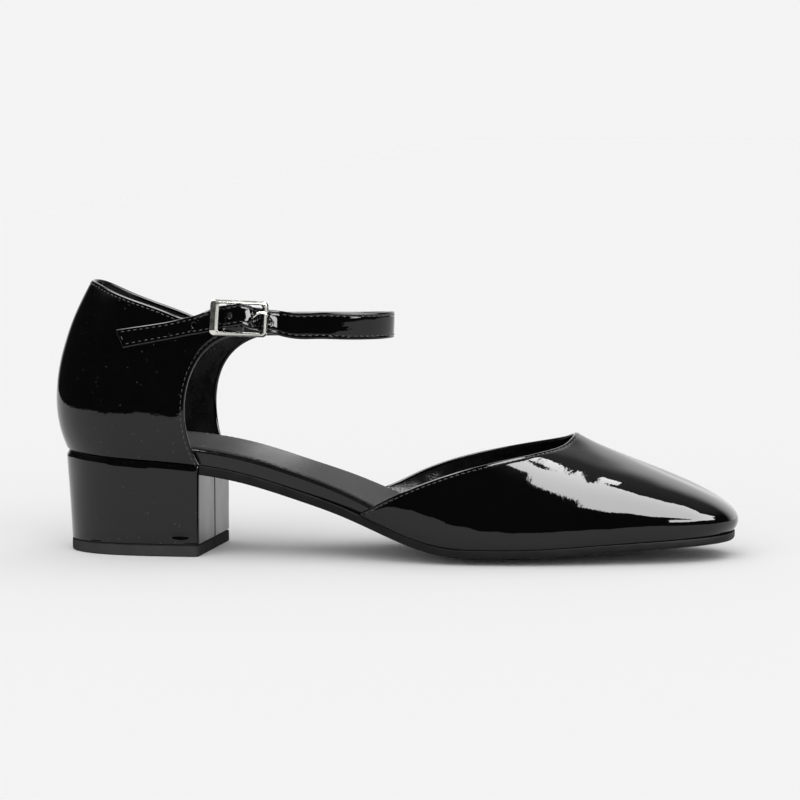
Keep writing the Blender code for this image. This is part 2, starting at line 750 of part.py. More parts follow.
def hole_faces(quad, ring):
    """Faces between the edge of a quad and a ring of points in it that starts in its third corner."""
    faces = []
    share = len(ring) // 4
    for k, point in enumerate(ring):
        near, far = (2 + k // share) % 4, (2 + (k + 1) // share) % 4
        face = (quad[near], point, ring[(k + 1) % len(ring)])
        faces.append(face if near == far else (*face, quad[far]))
    return faces


def build_strap():
    line, knots = strap_line()
    first = knots[len(STRAP_TAIL)]
    last = knots[len(STRAP_TAIL) + len(STRAP_IN_BUCKLE) - 1]
    end = knots[-1]
    holes = strap_holes(line, first, last)
    lengths = strap_sections(first, last, end, holes)
    middle, _, out, up = strap_frame(line, lengths)
    corner = np.maximum(STRAP_CORNER - np.minimum(lengths, end - lengths), 0.0)
    half = np.interp(lengths, *np.transpose(STRAP_WIDTH)) / 2 - corner
    deep, flat = STRAP_THICKNESS / 2, STRAP_THICKNESS / 2 - STRAP_CHAMFER
    profile = (
        # side, cut, depth
        (-1, 0.0, flat),
        (-1, STRAP_CHAMFER, deep),
        (1, STRAP_CHAMFER, deep),
        (1, 0.0, flat),
        (1, 0.0, -flat),
        (1, STRAP_CHAMFER, -deep),
        (-1, STRAP_CHAMFER, -deep),
        (-1, 0.0, -flat),
    )
    loops = [middle + up * (side * (half - cut))[:, None] + out * depth for side, cut, depth in profile]
    points, faces = loft(np.stack(loops, axis=1))

    size = len(profile)
    cosines, sines = circle(HOLE_POINTS)
    for place, long, tall in holes:
        i = np.searchsorted(lengths, place) - 1
        middle, ahead, out, up = strap_frame(line, place)
        rim = middle + cosines * long * ahead + sines * tall * up
        rings = []
        for low, high, depth in ((1, 2, deep), (6, 5, -deep)):
            quad = [i * size + low, (i + 1) * size + low, (i + 1) * size + high, i * size + high]
            faces = [face for face in faces if set(face) != set(quad)]
            rings.append([len(points) + k for k in range(HOLE_POINTS)])
            points = np.vstack((points, rim + out * depth))
            faces.extend(hole_faces(quad, rings[-1]))
        for k in range(HOLE_POINTS):
            near, far = k, (k + 1) % HOLE_POINTS
            faces.append((rings[0][near], rings[0][far], rings[1][far], rings[1][near]))
    add_solid("ankle_strap", points, faces)


def build_buckle():
    loops = []
    for rear, front, side, depth, corner in BUCKLE_PROFILE:
        tall = BUCKLE_HEIGHT / 2 - side - corner
        ring = []
        for turn, (x, z) in enumerate(((1, 1), (-1, 1), (-1, -1), (1, -1))):
            long = BUCKLE_LENGTH / 2 - (front if x > 0 else rear) - corner
            angle = (turn + np.linspace(0, 1, CORNER_POINTS)) * math.pi / 2
            arc = corner * np.column_stack((np.cos(angle), np.sin(angle)))
            ring.append(arc + (x * long, z * tall))
            if turn % 2 == 0:
                edge = z * (tall + corner)
                ring.append(((x * BAR_HALF, edge), (-x * BAR_HALF, edge)))
        loops.append(np.insert(np.vstack(ring), 1, depth, axis=1))
    points, faces = loft(in_buckle(np.stack(loops)), closed=True)
    size, last = len(loops[0]), len(points)
    inner = size * (len(loops) - 1)
    feet = []
    for first in (CORNER_POINTS, 3 * CORNER_POINTS + 2):
        pair = (first, first + 1)
        ring = [inner + pair[0], inner + pair[1], pair[1], pair[0]]
        faces = [face for face in faces if set(face) != set(ring)]
        foot = np.vstack((loops[-1][list(pair)], loops[0][list(pair[::-1])]))
        foot[:, 1] = BAR_REAR
        low = [last + i for i in range(4)]
        last += 4
        points = np.vstack((points, in_buckle(foot)))
        faces.extend((ring[i], ring[(i + 1) % 4], low[(i + 1) % 4], low[i]) for i in (1, 2, 3))
        faces.append(tuple(low))
        feet.append((ring[0], ring[1], low[1], low[0]))
    upper, lower = feet[0], (feet[1][1], feet[1][0], feet[1][3], feet[1][2])
    faces.extend((upper[i], upper[(i + 1) % 4], lower[(i + 1) % 4], lower[i]) for i in range(4))
    add_solid("buckle_frame", points, faces)


def build_prong():
    turn = np.linspace(-PRONG_OPEN, -1.5 * math.pi, RING_POINTS)
    ring = np.column_stack(
        (PRONG_RING * np.cos(turn), BAR_DEPTH + PRONG_RING * np.sin(turn), np.full(len(turn), PRONG_HEIGHT))
    )
    path = np.vstack((ring, PRONG_PATH))
    knots = chord(path)
    curve = spline(knots, path)
    places = np.linspace(0, knots[-1], PRONG_SECTIONS)
    middle = curve(places)
    step = 0.02
    ahead = unit(curve(places + step) - curve(places - step))
    cosines, sines = circle(PRONG_POINTS)
    loops = []
    for (along, depth, height), (forward, out, _) in zip(middle, ahead):
        across = cosines * PRONG_RADIUS
        loops.append(np.hstack((along - out * across, depth + forward * across, height + sines * PRONG_RADIUS)))
    add_solid("buckle_prong", *loft(in_buckle(np.stack(loops))))


def build_tab():
    up = buckle_axes()[2]
    back = np.array((-math.cos(TAB_TURN), math.sin(TAB_TURN), 0.0))
    back = unit(back - up * (back @ up))
    out = np.cross(up, back)
    bar = in_buckle((0.0, BAR_DEPTH, 0.0))

    turn = np.linspace(0, math.pi, FOLD_POINTS)
    slot = np.linspace(SLOT_REACH, 0, 3)[:-1]
    reach = np.r_[TAB_REACH, slot, -TAB_FOLD * np.sin(turn), slot[::-1], TAB_REACH]
    facing = np.r_[0.0, 0.0, 0.0, turn, math.pi, math.pi, math.pi]
    slot_low, slot_high = PRONG_HEIGHT - SLOT_WIDTH / 2, PRONG_HEIGHT + SLOT_WIDTH / 2
    heights = np.array((-TAB_WIDTH / 2, slot_low, slot_high, TAB_WIDTH / 2))
    sheets = []
    for off in (TAB_THICKNESS / 2, -TAB_THICKNESS / 2):
        along = reach - off * np.sin(facing)
        across = (TAB_FOLD + off) * np.cos(facing)
        sheet = np.column_stack((along, across))[:, None].repeat(len(heights), axis=1)
        height = np.broadcast_to(heights, sheet.shape[:2])
        sheets.append(np.dstack((sheet, height)) @ np.stack((back, out, up)) + bar)
    solid = np.ones((len(reach) - 1, len(heights) - 1), bool)
    solid[1:-1, 1] = False
    add_solid("buckle_tab", *slab(*sheets, solid))


def main():
    for old in list(bpy.data.objects):
        bpy.data.objects.remove(old)
    build_upper()
    build_outsole()
    build_insole()
    build_heel()
    build_strap()
    build_buckle()
    build_prong()
    build_tab()


main()
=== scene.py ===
"""The look of the right shoe: a two-piece pump in black patent with a block heel and a buckled ankle strap.

Sizes are millimetres. X runs from the heel back (0) to the toe, Y is negative on the lateral (outer) side
and positive on the medial (inner) side, Z is height above the floor. Each piece is turned into metres, with
the origin under the middle of the shoe, when it is made.
"""

import math

import bmesh
import bpy
import numpy as np
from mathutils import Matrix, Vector
from mathutils.kdtree import KDTree


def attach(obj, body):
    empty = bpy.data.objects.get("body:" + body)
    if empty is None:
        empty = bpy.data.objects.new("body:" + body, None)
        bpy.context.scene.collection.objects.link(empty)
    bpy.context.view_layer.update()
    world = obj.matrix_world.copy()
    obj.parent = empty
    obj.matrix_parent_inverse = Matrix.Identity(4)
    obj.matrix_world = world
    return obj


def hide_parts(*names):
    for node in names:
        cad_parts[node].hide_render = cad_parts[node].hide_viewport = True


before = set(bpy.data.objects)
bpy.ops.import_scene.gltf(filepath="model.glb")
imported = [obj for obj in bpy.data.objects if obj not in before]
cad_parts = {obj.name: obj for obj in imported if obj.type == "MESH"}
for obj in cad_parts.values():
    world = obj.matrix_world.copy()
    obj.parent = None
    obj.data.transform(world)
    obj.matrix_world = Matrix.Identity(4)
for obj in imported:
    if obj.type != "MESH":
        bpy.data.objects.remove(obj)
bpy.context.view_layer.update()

# Driving sizes
LENGTH = 248.0
MIDDLE_Y = -0.95
GAP = 0.3
VAMP_WALL = 1.5
QUARTER_WALL = 1.5
LATERAL, MEDIAL = -1, 1
METRE = 0.001

# Feather line in plan, where the upper meets the sole: heel back, lateral side, toe, medial side
OUTLINE = (
    # x, y
    (4.2, 0.6), (8.6, -12.6), (20.0, -22.2), (38.0, -26.8), (58.0, -27.4), (80.0, -27.4), (100.0, -29.0),
    (118.0, -33.0), (138.0, -38.0), (158.0, -40.4), (178.0, -39.0), (198.0, -35.0), (216.0, -30.0),
    (231.0, -23.6), (240.6, -15.4), (244.8, -7.0), (245.8, 2.0), (244.8, 11.0), (240.6, 18.8),
    (231.0, 26.0), (216.0, 31.8), (198.0, 36.4), (179.0, 38.8), (160.0, 37.0), (140.0, 31.4),
    (120.0, 25.4), (100.0, 21.4), (80.0, 21.0), (58.0, 24.0), (38.0, 25.4), (20.0, 22.2), (8.6, 13.6),
)
TOE_ROW = 16

# Underside of the sole along the foot: height of its middle, how far its edges rise, sole thickness,
# the y of its middle, and the half width at which the edges reach that rise
SOLE = (
    # x, middle, rise, thickness, centre, half width
    (0.0, 33.4, 0.0, 3.4, 0.0, 26.0),
    (30.0, 31.3, 0.0, 3.4, -0.6, 26.0),
    (58.0, 29.1, 0.1, 3.4, -1.4, 26.0),
    (75.0, 25.4, 0.6, 3.4, -2.2, 25.4),
    (92.0, 20.0, 1.1, 3.4, -2.8, 25.6),
    (108.0, 14.6, 1.5, 3.3, -3.4, 28.0),
    (122.0, 8.6, 2.0, 3.1, -3.6, 30.5),
    (134.0, 3.5, 2.5, 2.9, -3.2, 33.5),
    (146.0, 0.3, 2.9, 2.8, -2.4, 36.8),
    (160.0, -0.4, 3.1, 2.7, -1.4, 38.8),
    (176.0, -0.3, 3.2, 2.7, 0.0, 39.0),
    (192.0, 0.8, 3.0, 2.7, 0.6, 37.0),
    (212.0, 2.5, 2.4, 2.7, 1.2, 32.0),
    (232.0, 4.6, 1.5, 2.7, 1.8, 27.0),
    (248.0, 6.5, 1.0, 2.7, 2.0, 24.0),
)

# Vamp ribs from the feather line to the topline, each one a cubic curve. The feather point is at x on its
# side. Its lower handle leans out and rises. The upper handle is measured from the topline point.
VAMP = (
    # side, x, out, rise, topline x, y, z, handle x, y, z
    (LATERAL, 115.5, 0.0, 0.3, 115.8, -32.6, 17.5, 0.0, 0.0, -0.3),
    (LATERAL, 122.0, 0.5, 1.6, 121.2, -34.7, 20.5, 0.1, -0.5, -2.2),
    (LATERAL, 131.0, 1.3, 2.8, 128.4, -36.6, 24.3, 0.5, -1.3, -4.8),
    (LATERAL, 146.0, 1.7, 3.4, 141.6, -37.2, 29.9, 1.2, -3.2, -7.6),
    (LATERAL, 166.0, 2.0, 5.6, 157.4, -33.9, 34.7, 2.0, -6.4, -9.0),
    (LATERAL, 190.0, 2.9, 8.8, 172.8, -25.7, 37.8, 5.0, -10.0, -8.8),
    (LATERAL, 214.0, 4.7, 12.0, 182.4, -16.2, 39.5, 10.5, -10.8, -8.4),
    (LATERAL, 232.0, 6.5, 13.1, 186.8, -9.2, 41.1, 16.5, -8.6, -9.4),
    (LATERAL, 241.5, 8.6, 13.4, 188.6, -4.4, 42.8, 20.6, -4.2, -11.2),
    (LATERAL, 245.8, 11.2, 11.0, 189.2, 0.8, 43.9, 22.4, 0.4, -12.6),
    (MEDIAL, 241.5, 8.6, 13.6, 188.2, 5.8, 43.3, 20.6, 5.0, -11.6),
    (MEDIAL, 232.0, 6.5, 13.5, 185.8, 10.4, 42.0, 16.5, 8.8, -10.2),
    (MEDIAL, 214.0, 4.7, 12.2, 180.4, 16.4, 40.3, 10.5, 10.6, -9.2),
    (MEDIAL, 190.0, 2.9, 9.0, 169.2, 24.4, 37.7, 5.0, 9.8, -9.2),
    (MEDIAL, 168.0, 2.0, 5.8, 154.4, 31.2, 34.2, 2.2, 6.4, -9.2),
    (MEDIAL, 148.0, 1.7, 3.6, 140.2, 33.4, 30.2, 1.3, 3.4, -7.8),
    (MEDIAL, 131.0, 1.4, 3.2, 127.4, 31.2, 25.2, 0.6, 1.6, -5.2),
    (MEDIAL, 119.0, 0.7, 1.7, 117.9, 28.0, 20.9, 0.1, 0.6, -2.2),
    (MEDIAL, 112.0, 0.0, 0.3, 112.3, 25.0, 19.2, 0.0, 0.0, -0.3),
)

# Quarter ribs, from the lateral front edge round the heel to the medial front edge, as on the vamp. The
# lower handle also moves by a shift along x, which draws the concave front edges.
QUARTER = (
    # side, x, out, shift, rise, topline x, y, z, handle x, y, z
    (LATERAL, 57.4, 4.9, -9.3, 16.8, 70.0, -29.9, 79.4, -18.6, 2.7, -4.2),
    (LATERAL, 54.4, 5.1, -9.6, 15.4, 68.9, -29.7, 88.0, -17.5, 3.3, -11.2),
    (LATERAL, 49.0, 4.2, -6.3, 16.5, 60.0, -27.7, 87.0, -10.5, 1.0, -11.6),
    (LATERAL, 38.0, 4.4, -2.9, 17.7, 46.6, -24.8, 87.0, -4.4, -2.1, -13.6),
    (LATERAL, 21.0, 5.6, -0.6, 19.0, 27.4, -17.0, 93.0, -4.0, -5.2, -16.6),
    (LATERAL, 9.4, 7.4, 0.0, 18.6, 17.2, -7.6, 96.6, -8.2, -4.8, -19.0),
    (LATERAL, 4.2, 8.6, 0.0, 18.4, 13.6, 0.8, 97.6, -11.2, 0.0, -19.6),
    (MEDIAL, 9.4, 7.4, 0.0, 18.6, 17.2, 9.0, 96.6, -8.2, 4.8, -19.0),
    (MEDIAL, 21.0, 5.6, -0.4, 19.0, 27.4, 17.0, 91.2, -4.0, 5.2, -15.6),
    (MEDIAL, 38.0, 4.2, -2.0, 19.6, 46.6, 22.8, 83.3, -3.6, 2.8, -11.0),
    (MEDIAL, 49.0, 3.8, -4.0, 19.8, 62.0, 25.0, 82.0, -8.4, 0.6, -8.8),
    (MEDIAL, 55.4, 3.4, -7.4, 19.6, 79.6, 26.2, 82.4, -27.6, -1.2, -6.6),
    (MEDIAL, 58.4, 3.2, -7.2, 19.4, 80.2, 26.2, 76.8, -27.6, -1.2, -1.0),
)

# Insole board and sock: thickness along the foot
INSOLE = (
    # x, board, sock
    (0.0, 4.8, 0.9),
    (60.0, 5.1, 0.9),
    (92.0, 5.2, 0.9),
    (118.0, 4.6, 0.9),
    (150.0, 3.6, 0.9),
    (248.0, 3.1, 0.9),
)
BOARD_INSET = 2.2
SOCK_INSET = 2.9
SOCK_ROUND = 0.6
TOE_STOP = 0.002

# How far the outsole edge stands out from the feather line
SOLE_EDGE = (
    # x, margin
    (50.0, -1.2), (100.0, -0.9), (128.0, 0.2), (170.0, 0.4), (248.0, 0.6),
)
SOLE_BEVEL = 0.9

# Heel block and lift: plan of the lift, heel back first, lateral side then medial side
LIFT_OUTLINE = (
    # x, y
    (6.4, 0.4), (8.4, -10.6), (14.0, -18.2), (24.0, -23.8), (36.0, -26.2), (56.8, -27.0), (59.8, 24.4),
    (36.0, 24.9), (24.0, 23.4), (14.0, 18.9), (8.4, 11.0),
)
LIFT_CORNER = 5
LIFT_MIDDLE_X = 30.0
LIFT_BEVEL = 0.6
BREAST_X, BREAST_TURN = 58.36, 1.5
LIFT_HEIGHT = 4.2

# Ankle strap, from its free end: on the lateral quarter, through the buckle, round the ankle and on the
# outside of the medial quarter. The rows in the buckle are measured in its own frame, from its middle.
STRAP_THICKNESS = 1.7
ANKLE_MIDDLE = (84.0, 0.6)
STRAP_TAIL = (
    # x, z, distance off the quarter
    (28.6, 77.2, 0.3),
    (34.5, 78.3, 0.35),
    (41.0, 79.5, 0.4),
    (48.0, 80.8, 0.8),
    (55.0, 82.1, 1.9),
)
STRAP_IN_BUCKLE = (
    # along, depth, height, lean of its top towards the ankle in degrees
    (-10.5, -3.1, -1.8, 3.0),
    (-7.4, -3.0, -0.4, 3.0),
    (-5.5, -1.1, 0.3, 3.0),
    (-3.9, 1.05, 0.6, 4.0),
    (-2.2, 2.4, 1.3, 5.0),
    (0.0, 2.8, 1.7, 9.0),
    (2.2, 2.5, 1.2, 11.0),
    (4.2, 1.05, 0.45, 9.0),
    (5.9, -0.9, 0.2, 7.0),
    (7.8, -2.6, -0.1, 5.0),
    (9.6, -2.65, -0.45, 5.0),
    (11.1, -2.4, -0.75, 7.0),
    (13.5, -3.0, -0.95, 9.0),
)
STRAP_FRONT = (
    # x, y, z, lean of its top towards the ankle in degrees
    (90.0, -22.6, 82.8, 6.0),
    (99.5, -20.2, 82.6, 5.0),
    (108.2, -16.9, 82.3, 1.2),
    (115.6, -12.2, 82.1, -1.5),
    (120.6, -6.4, 82.0, -1.5),
    (122.8, 0.6, 81.9, -1.0),
    (121.4, 8.4, 81.4, 0.0),
    (116.6, 15.4, 80.9, 1.0),
    (108.0, 21.2, 80.4, 2.0),
    (97.0, 25.2, 80.2, 3.0),
    (86.0, 27.2, 80.1, 1.0),
)
STRAP_END = (
    # x, z, distance off the quarter
    (76.0, 80.0, 0.3),
    (66.0, 79.4, 0.3),
    (57.0, 78.8, 0.3),
)
STRAP_WIDTH = (
    # length from the free end, width
    (0.0, 7.4), (33.0, 7.2), (40.0, 7.9), (56.0, 8.0), (66.0, 8.8), (72.0, 9.2), (88.0, 9.6),
    (112.0, 9.7), (190.0, 8.2),
)
PRONG_ALONG = 4.7
HOLE_STEPS = (-24.3, -17.6, -9.2, 0.0, 8.0)
HOLE_RADIUS = 0.9
PRONG_HOLE = (2.2, 1.4)

# Searches: the first guess on the quarter as shares of its place and height, the longest step in place and
# share, and how many steps a search on the quarter and on the feather line takes
SIDE_SHARE, TOP_SHARE = 0.7, 0.8
SEARCH_STEP = np.array((3.0, 0.05))
SEARCHES, HALVINGS = 30, 50

# Buckle: a bevelled frame with its centre bar, set along the pull of the strap
BUCKLE_CENTRE = (72.6, -31.1, 85.7)
BUCKLE_TURN = math.radians(20.0)
BUCKLE_DROP = 0.06
BUCKLE_LENGTH, BUCKLE_HEIGHT = 20.8, 12.8
BUCKLE_PROFILE = (
    # inset at the rear, at the front, above and below, depth, corner radius
    (0.0, 0.0, 0.0, -1.2, 1.8),
    (0.0, 0.0, 0.0, -0.2, 1.8),
    (1.6, 0.8, 0.8, 0.6, 1.2),
    (2.8, 1.6, 1.4, 0.6, 0.8),
    (2.8, 2.2, 1.5, -1.2, 0.8),
)
BAR_HALF, BAR_REAR = 0.8, -2.2
BAR_DEPTH = -1.7

# Prong: a ring round the centre bar, then a tongue through the strap and on to the front bar
PRONG_RADIUS, PRONG_RING, PRONG_HEIGHT = 0.5, 1.65, 1.1
PRONG_OPEN = math.radians(50.0)
PRONG_PATH = (
    # along, depth, height
    (1.4, 0.0, 1.1),
    (2.8, 0.0, 1.1),
    (3.9, 0.25, 0.8),
    (5.0, 0.95, 0.95),
    (6.2, 1.5, 2.0),
    (7.8, 1.55, 2.4),
    (9.7, 1.3, 1.9),
)

# Tab: a strip folded round the centre bar, its legs on both sides of the lateral tongue of the quarter
TAB_THICKNESS, TAB_WIDTH, TAB_FOLD = 0.8, 9.4, 1.65
TAB_REACH = 4.0
TAB_TURN = math.radians(6.0)
SLOT_WIDTH, SLOT_REACH = 2.2, 2.35

# Meshes: distances from a free edge at which a sheet has points, and how fine the pieces are. Samples are
# the points of a line that a piece is read from.
EDGE_STEPS = np.array(
    (0.0, 0.02, 0.07, 0.15, 0.26, 0.4, 0.57, 0.75, 0.95, 1.15, 1.4, 1.65, 1.9, 2.3, 2.9, 3.6)
)
WELD = 1e-6
FILLET_SHARE = 0.45
SHARP_ANGLE = math.radians(50.0)
SHEET_STEP, VAMP_ROWS, QUARTER_ROWS = 1.2, 56, 50
PLATE_SECTIONS, SOLE_ACROSS, BOARD_ACROSS, SOCK_ACROSS = 220, 30, 12, 34
BEVEL_STEPS, RIM_STEPS, SOCK_STEPS, LIFT_STEPS = 6, 4, 7, 5
HEEL_SIDES, HEEL_ROWS, BREAST_STEPS, CORNER_STEPS = 70, 30, 20, 7
FRAME_STEPS, FRAME_CORNER, BAR_STEPS = 5, 9, 4
PRONG_BENDS, PRONG_SECTIONS, PRONG_TIP_STEPS, PRONG_SIDES = 30, 90, 8, 14
TAB_BENDS, TAB_STEPS, TAB_CORNER = 25, 12, 3
RIB_SAMPLES, SOCK_SAMPLES, HEEL_SAMPLES, STRAP_SAMPLES, LINE_SAMPLES = 241, 300, 160, 400, 900

# Waves in the surfaces: rows of height, shortest and longest wave, and seed. Near an edge they are calm,
# over the distances given. The lining of the medial wing has creases too.
PATENT_WAVES = ((0.018, 7.0, 16.0, 3), (0.05, 18.0, 40.0, 4))
VAMP_LINING_WAVES = ((0.03, 8.0, 20.0, 5),)
CREASES = ((0.22, 3.5, 7.0, 6),)
QUARTER_LINING_WAVES = ((0.04, 8.0, 22.0, 7),)
HEEL_WAVES = ((0.03, 9.0, 26.0, 8),)
STRAP_WAVES = ((0.05, 8.0, 18.0, 9),)
SHEET_CALM, STRAP_CALM = (0.7, 5.0), (0.5, 2.0)
CREASE_STRETCH, CREASE_X, CREASE_Y = (1.0, 1.0, 0.45), (160, 176), (10, 20)

# Stitches and the groove that they pull into the sheet
STITCH_INSET, STITCH_PITCH, STITCH_KEPT = 1.4, 2.1, 0.93
STITCH_LONG, STITCH_WIDE, STITCH_HIGH = 1.5, 0.32, 0.3
STITCH_SUNK, STITCH_DIVE, STITCH_TAPER, STITCH_AHEAD = 0.06, 0.16, 0.97, 0.4
STITCH_SIDES, STITCH_SECTIONS = 8, 7
GROOVE_DEPTH, GROOVE_WIDTH = 0.1, 0.45
FOLD_REACH = 1.0

# Sole and insole: the sole's upper rim, the sock's stitches and crown, and the turned edge of the board
SOLE_RIM = 0.35
SOCK_START, SOCK_STITCH, SOCK_PITCH, SOCK_CROWN, SOCK_ENDS = 0.3, 2.2, 2.4, 1.5, 4
BOARD_UNDERCUT = 0.3
BOARD_BEVEL = (
    # way in, way down, from the board's side to its top
    (0.05, 1.2), (0.01, 0.9), (0.0, 0.75), (0.03, 0.64), (0.1, 0.48), (0.2, 0.28), (0.3, 0.11), (0.38, 0.04),
    (0.5, 0.0),
)

# Heel: its rim under the quarter, round front corners, the seam of its cover on the breast, a notch in the
# lift under the seam, and a small dent low on the lateral side
HEEL_CORNER, HEEL_TIP = 2.2, 0.4
HEEL_TOP = (
    # way in, way down
    (2.2, 0.0), (1.2, 0.03), (1.02, 0.1), (0.86, 0.3), (0.6, 0.85), (0.34, 1.45), (0.09, 2.0), (0.0, 2.2),
    (0.0, 2.35),
)
HEEL_FINE, HEEL_PLAIN = 0.78, 2
LIFT_RIM = (
    # way in, way down
    (1.0, 0.0), (1.0, 0.25), (0.2, 0.3), (0.0, 0.45), (0.0, 0.9), (0.0, 1.4), (0.0, 1.8), (0.0, 2.1),
)
NOTCH_DEPTH, NOTCH_WIDE, NOTCH_FULL, NOTCH_TALL = 1.4, 1.7, 1.14, 1.9
SEAM_SHARE, SEAM_DEPTH, SEAM_WIDTH, SEAM_LAP, SEAM_ROOM = 0.52, 0.4, 0.4, 0.14, 1.2
SEAM_STEPS = np.array(
    (-1.0, -0.7, -0.5, -0.35, -0.25, -0.15, -0.08, 0.0, 0.08, 0.15, 0.25, 0.35, 0.5, 0.7, 1.0)
)
SEAM_COLUMN = HEEL_SIDES + CORNER_STEPS + BREAST_STEPS
LAP_RISE, LAP_FALL = (-0.2, 0.1), (0.3, 1.0)
DIMPLE_AT, DIMPLE_SIZE, DIMPLE_DEPTH = (50.4, -27.1, 7.4), (2.3, 4.0, 0.75), 0.35

# Strap: mesh steps, round edges, stitches, slanted free end, and the holes with their rims
STRAP_STEP, STRAP_LADDER, STRAP_DIGITS, STRAP_SLACK = 0.8, 13, 4, 1e-3
STRAP_EDGE, STRAP_STITCH, STRAP_PITCH = 0.6, 1.3, 2.4
STRAP_SLANT, SLANT_LENGTH = 0.36, 9.0
CROSS_FROM, CROSS_TO, CROSS_POINTS = 0.12, 0.88, 30
HOLE_ROOM, HOLE_CLEAR, HOLE_CELLS, PATCH = 0.5, 0.15, 6, 1.5
HOLE_RIM = (
    # how much wider than the hole, distance out of the strap's middle
    (0.34, 0.85), (0.12, 0.8), (0.0, 0.64), (0.0, -0.68), (0.14, -0.85),
)

# Buckle: round edges, the lean of the frame's upper side, the centre bar, and the ends of prong and tab
BUCKLE_ROUND, BUCKLE_LEAN = 0.18, 0.13
LEAN_BELOW_TOP, LEAN_DEPTH = (1.5, 0.7), (-0.2, 0.6)
BAR_FRONT, BAR_SUNK, BAR_ROUND = -1.25, 0.2, 0.3
PRONG_TIP, PRONG_BLUNT, PRONG_AHEAD = 0.5, 0.063, 0.02
PRONG_SLIM, PRONG_GROWTH = 0.88, 0.03
TAB_ROUND = 0.2

# Studio: floor, light from all around, and panels seen in the gloss
FLOOR_TONE, FLOOR_ROUGHNESS = 0.9, 0.8
FLOOR = (
    # x, y
    (-700, 8000), (-700, -450), (-100, -620), (150, -740), (650, -1700), (8000, -1700), (8000, 8000),
)
LIGHT_FROM = (0.15, 0.1, 0.98)
OVERHEAD, FRONT_LIGHT, BACK_LIGHT, ALL_ROUND = 0.634, 1.7, 0.6, 0.3
DARK_ROOM, CEILING, BACKDROP = 0.02, 0.26, 1.5
PANEL_HEIGHT = 740.0
SOFTBOX = (
    # x, y
    (350, -130), (350, -20), (366, 40), (370, 100), (370, 240), (376, 282), (397, 282), (398, 160),
    (387, 135), (386, 105), (392, 70), (448, 34), (517, 8), (616, 8), (775, 55), (1120, 20), (1740, 310),
    (2090, -600), (1340, -934), (1041, -1160), (831, -1033), (705, -940), (594, -805), (527, -718),
    (471, -546), (427, -408), (402, -322), (389, -257), (383, -168), (377, -120),
)
TOP_CARD = ((-450, -330), (40, -330), (40, 260), (-450, 260))
SIDE_CARD_X, SIDE_CARD = 870.0, ((-700, 200), (40, 200), (40, 315), (-700, 315))
PANELS = (
    # name, corners, strength
    ("softbox", [(x, y, PANEL_HEIGHT) for x, y in SOFTBOX], 14.5),
    ("top_card", [(x, y, PANEL_HEIGHT) for x, y in TOP_CARD], 14.0),
    ("side_card", [(SIDE_CARD_X, y, z) for y, z in SIDE_CARD], 15.0),
)

# Ranges of direction over which the lights grow, along x, y, z or towards the overhead light
BACKDROP_X, BACKDROP_Y, BACKDROP_FADE = (-0.7, -0.25), (0.53, 0.8), (0.85, 1.0, 1.0, 0.75)
CEILING_Y, CEILING_Z = (-0.45, 0.1), (0.35, 0.75)
OVERHEAD_RANGE, FRONT_RANGE, BACK_RANGE = (0.55, 1.0), (-0.2, -0.8), (0.2, 0.8)

# Camera: its aim and distance in metres, angles in degrees, lens and sensor in millimetres
CAMERA_AIM = (0.0020, 0.00095, 0.0547)
CAMERA_AZIMUTH, CAMERA_ELEVATION, CAMERA_FAR = 7.0, 4.9, 1.4
CAMERA_LENS, CAMERA_SENSOR, CAMERA_CLIP = 175.0, 36.0, 50.0

# Materials: clouds that vary tone and roughness, dust specks at the heel, and where the sock is duller
CLOUD_SCALE, CLOUD_DETAIL, CLOUD_RANGE, GRAIN_DETAIL = 160.0, 3.0, (0.3, 0.7), 2.0
SPECK_SCALE, SPECK_SHARE, SPECK_SIZE, SPECK_X = 520.0, 0.5, 0.065, (-0.055, -0.075)
SOCK_DULL = ((-0.046, -0.062, 0.4), (-0.04, -0.024, 0.4))
COAT_IOR = 1.45

# Colour sockets of a mix node
MIX_FIRST, MIX_SECOND, MIX_RESULT = 6, 7, 2


def unit(rows):
    """Rows scaled to length one."""
    return rows / np.linalg.norm(rows, axis=-1, keepdims=True)


def chord(points):
    """Length along a row of points."""
    return np.r_[0, np.cumsum(np.linalg.norm(np.diff(points, axis=0), axis=1))]


def spline(knots, values):
    """A natural cubic spline through the values (one row per knot); returns a function of the knot scale."""
    knots = np.asarray(knots, float)
    values = np.asarray(values, float)
    steps = np.diff(knots)
    count = len(knots)
    matrix = np.eye(count)
    right = np.zeros_like(values)
    for i in range(1, count - 1):
        matrix[i, i - 1 : i + 2] = steps[i - 1], 2 * (steps[i - 1] + steps[i]), steps[i]
        right[i] = 6 * ((values[i + 1] - values[i]) / steps[i] - (values[i] - values[i - 1]) / steps[i - 1])
    bend = np.linalg.solve(matrix, right)

    def at(place):
        place = np.asarray(place, float)
        i = np.clip(np.searchsorted(knots, place, side="right") - 1, 0, count - 2)
        h = steps[i]
        a = (knots[i + 1] - place) / h
        b = (place - knots[i]) / h
        if values.ndim > 1:
            a, b, h = a[..., None], b[..., None], h[..., None]
        curve = (a**3 - a) * bend[i] + (b**3 - b) * bend[i + 1]
        return a * values[i] + b * values[i + 1] + curve * h * h / 6

    return at


def table(rows):
    """A spline over the first column of a table."""
    rows = np.asarray(rows, float)
    return spline(rows[:, 0], rows[:, 1:])


def closed_curve(points):
    """A smooth closed curve through points, by its length along them; returns it with its knots."""
    points = np.asarray(points, float)
    wrap = 8
    around = np.vstack((points[-wrap:], points, points[: wrap + 1]))
    length = chord(around)
    length -= length[wrap]
    return spline(length, around), length[wrap : wrap + len(points) + 1]


feather, FEATHER_KNOTS = closed_curve(OUTLINE)
TOE_PLACE, ROUND_TRIP = FEATHER_KNOTS[TOE_ROW], FEATHER_KNOTS[-1]
sole_rows = table(SOLE)
insole_rows = table(INSOLE)
sole_edge = table(SOLE_EDGE)


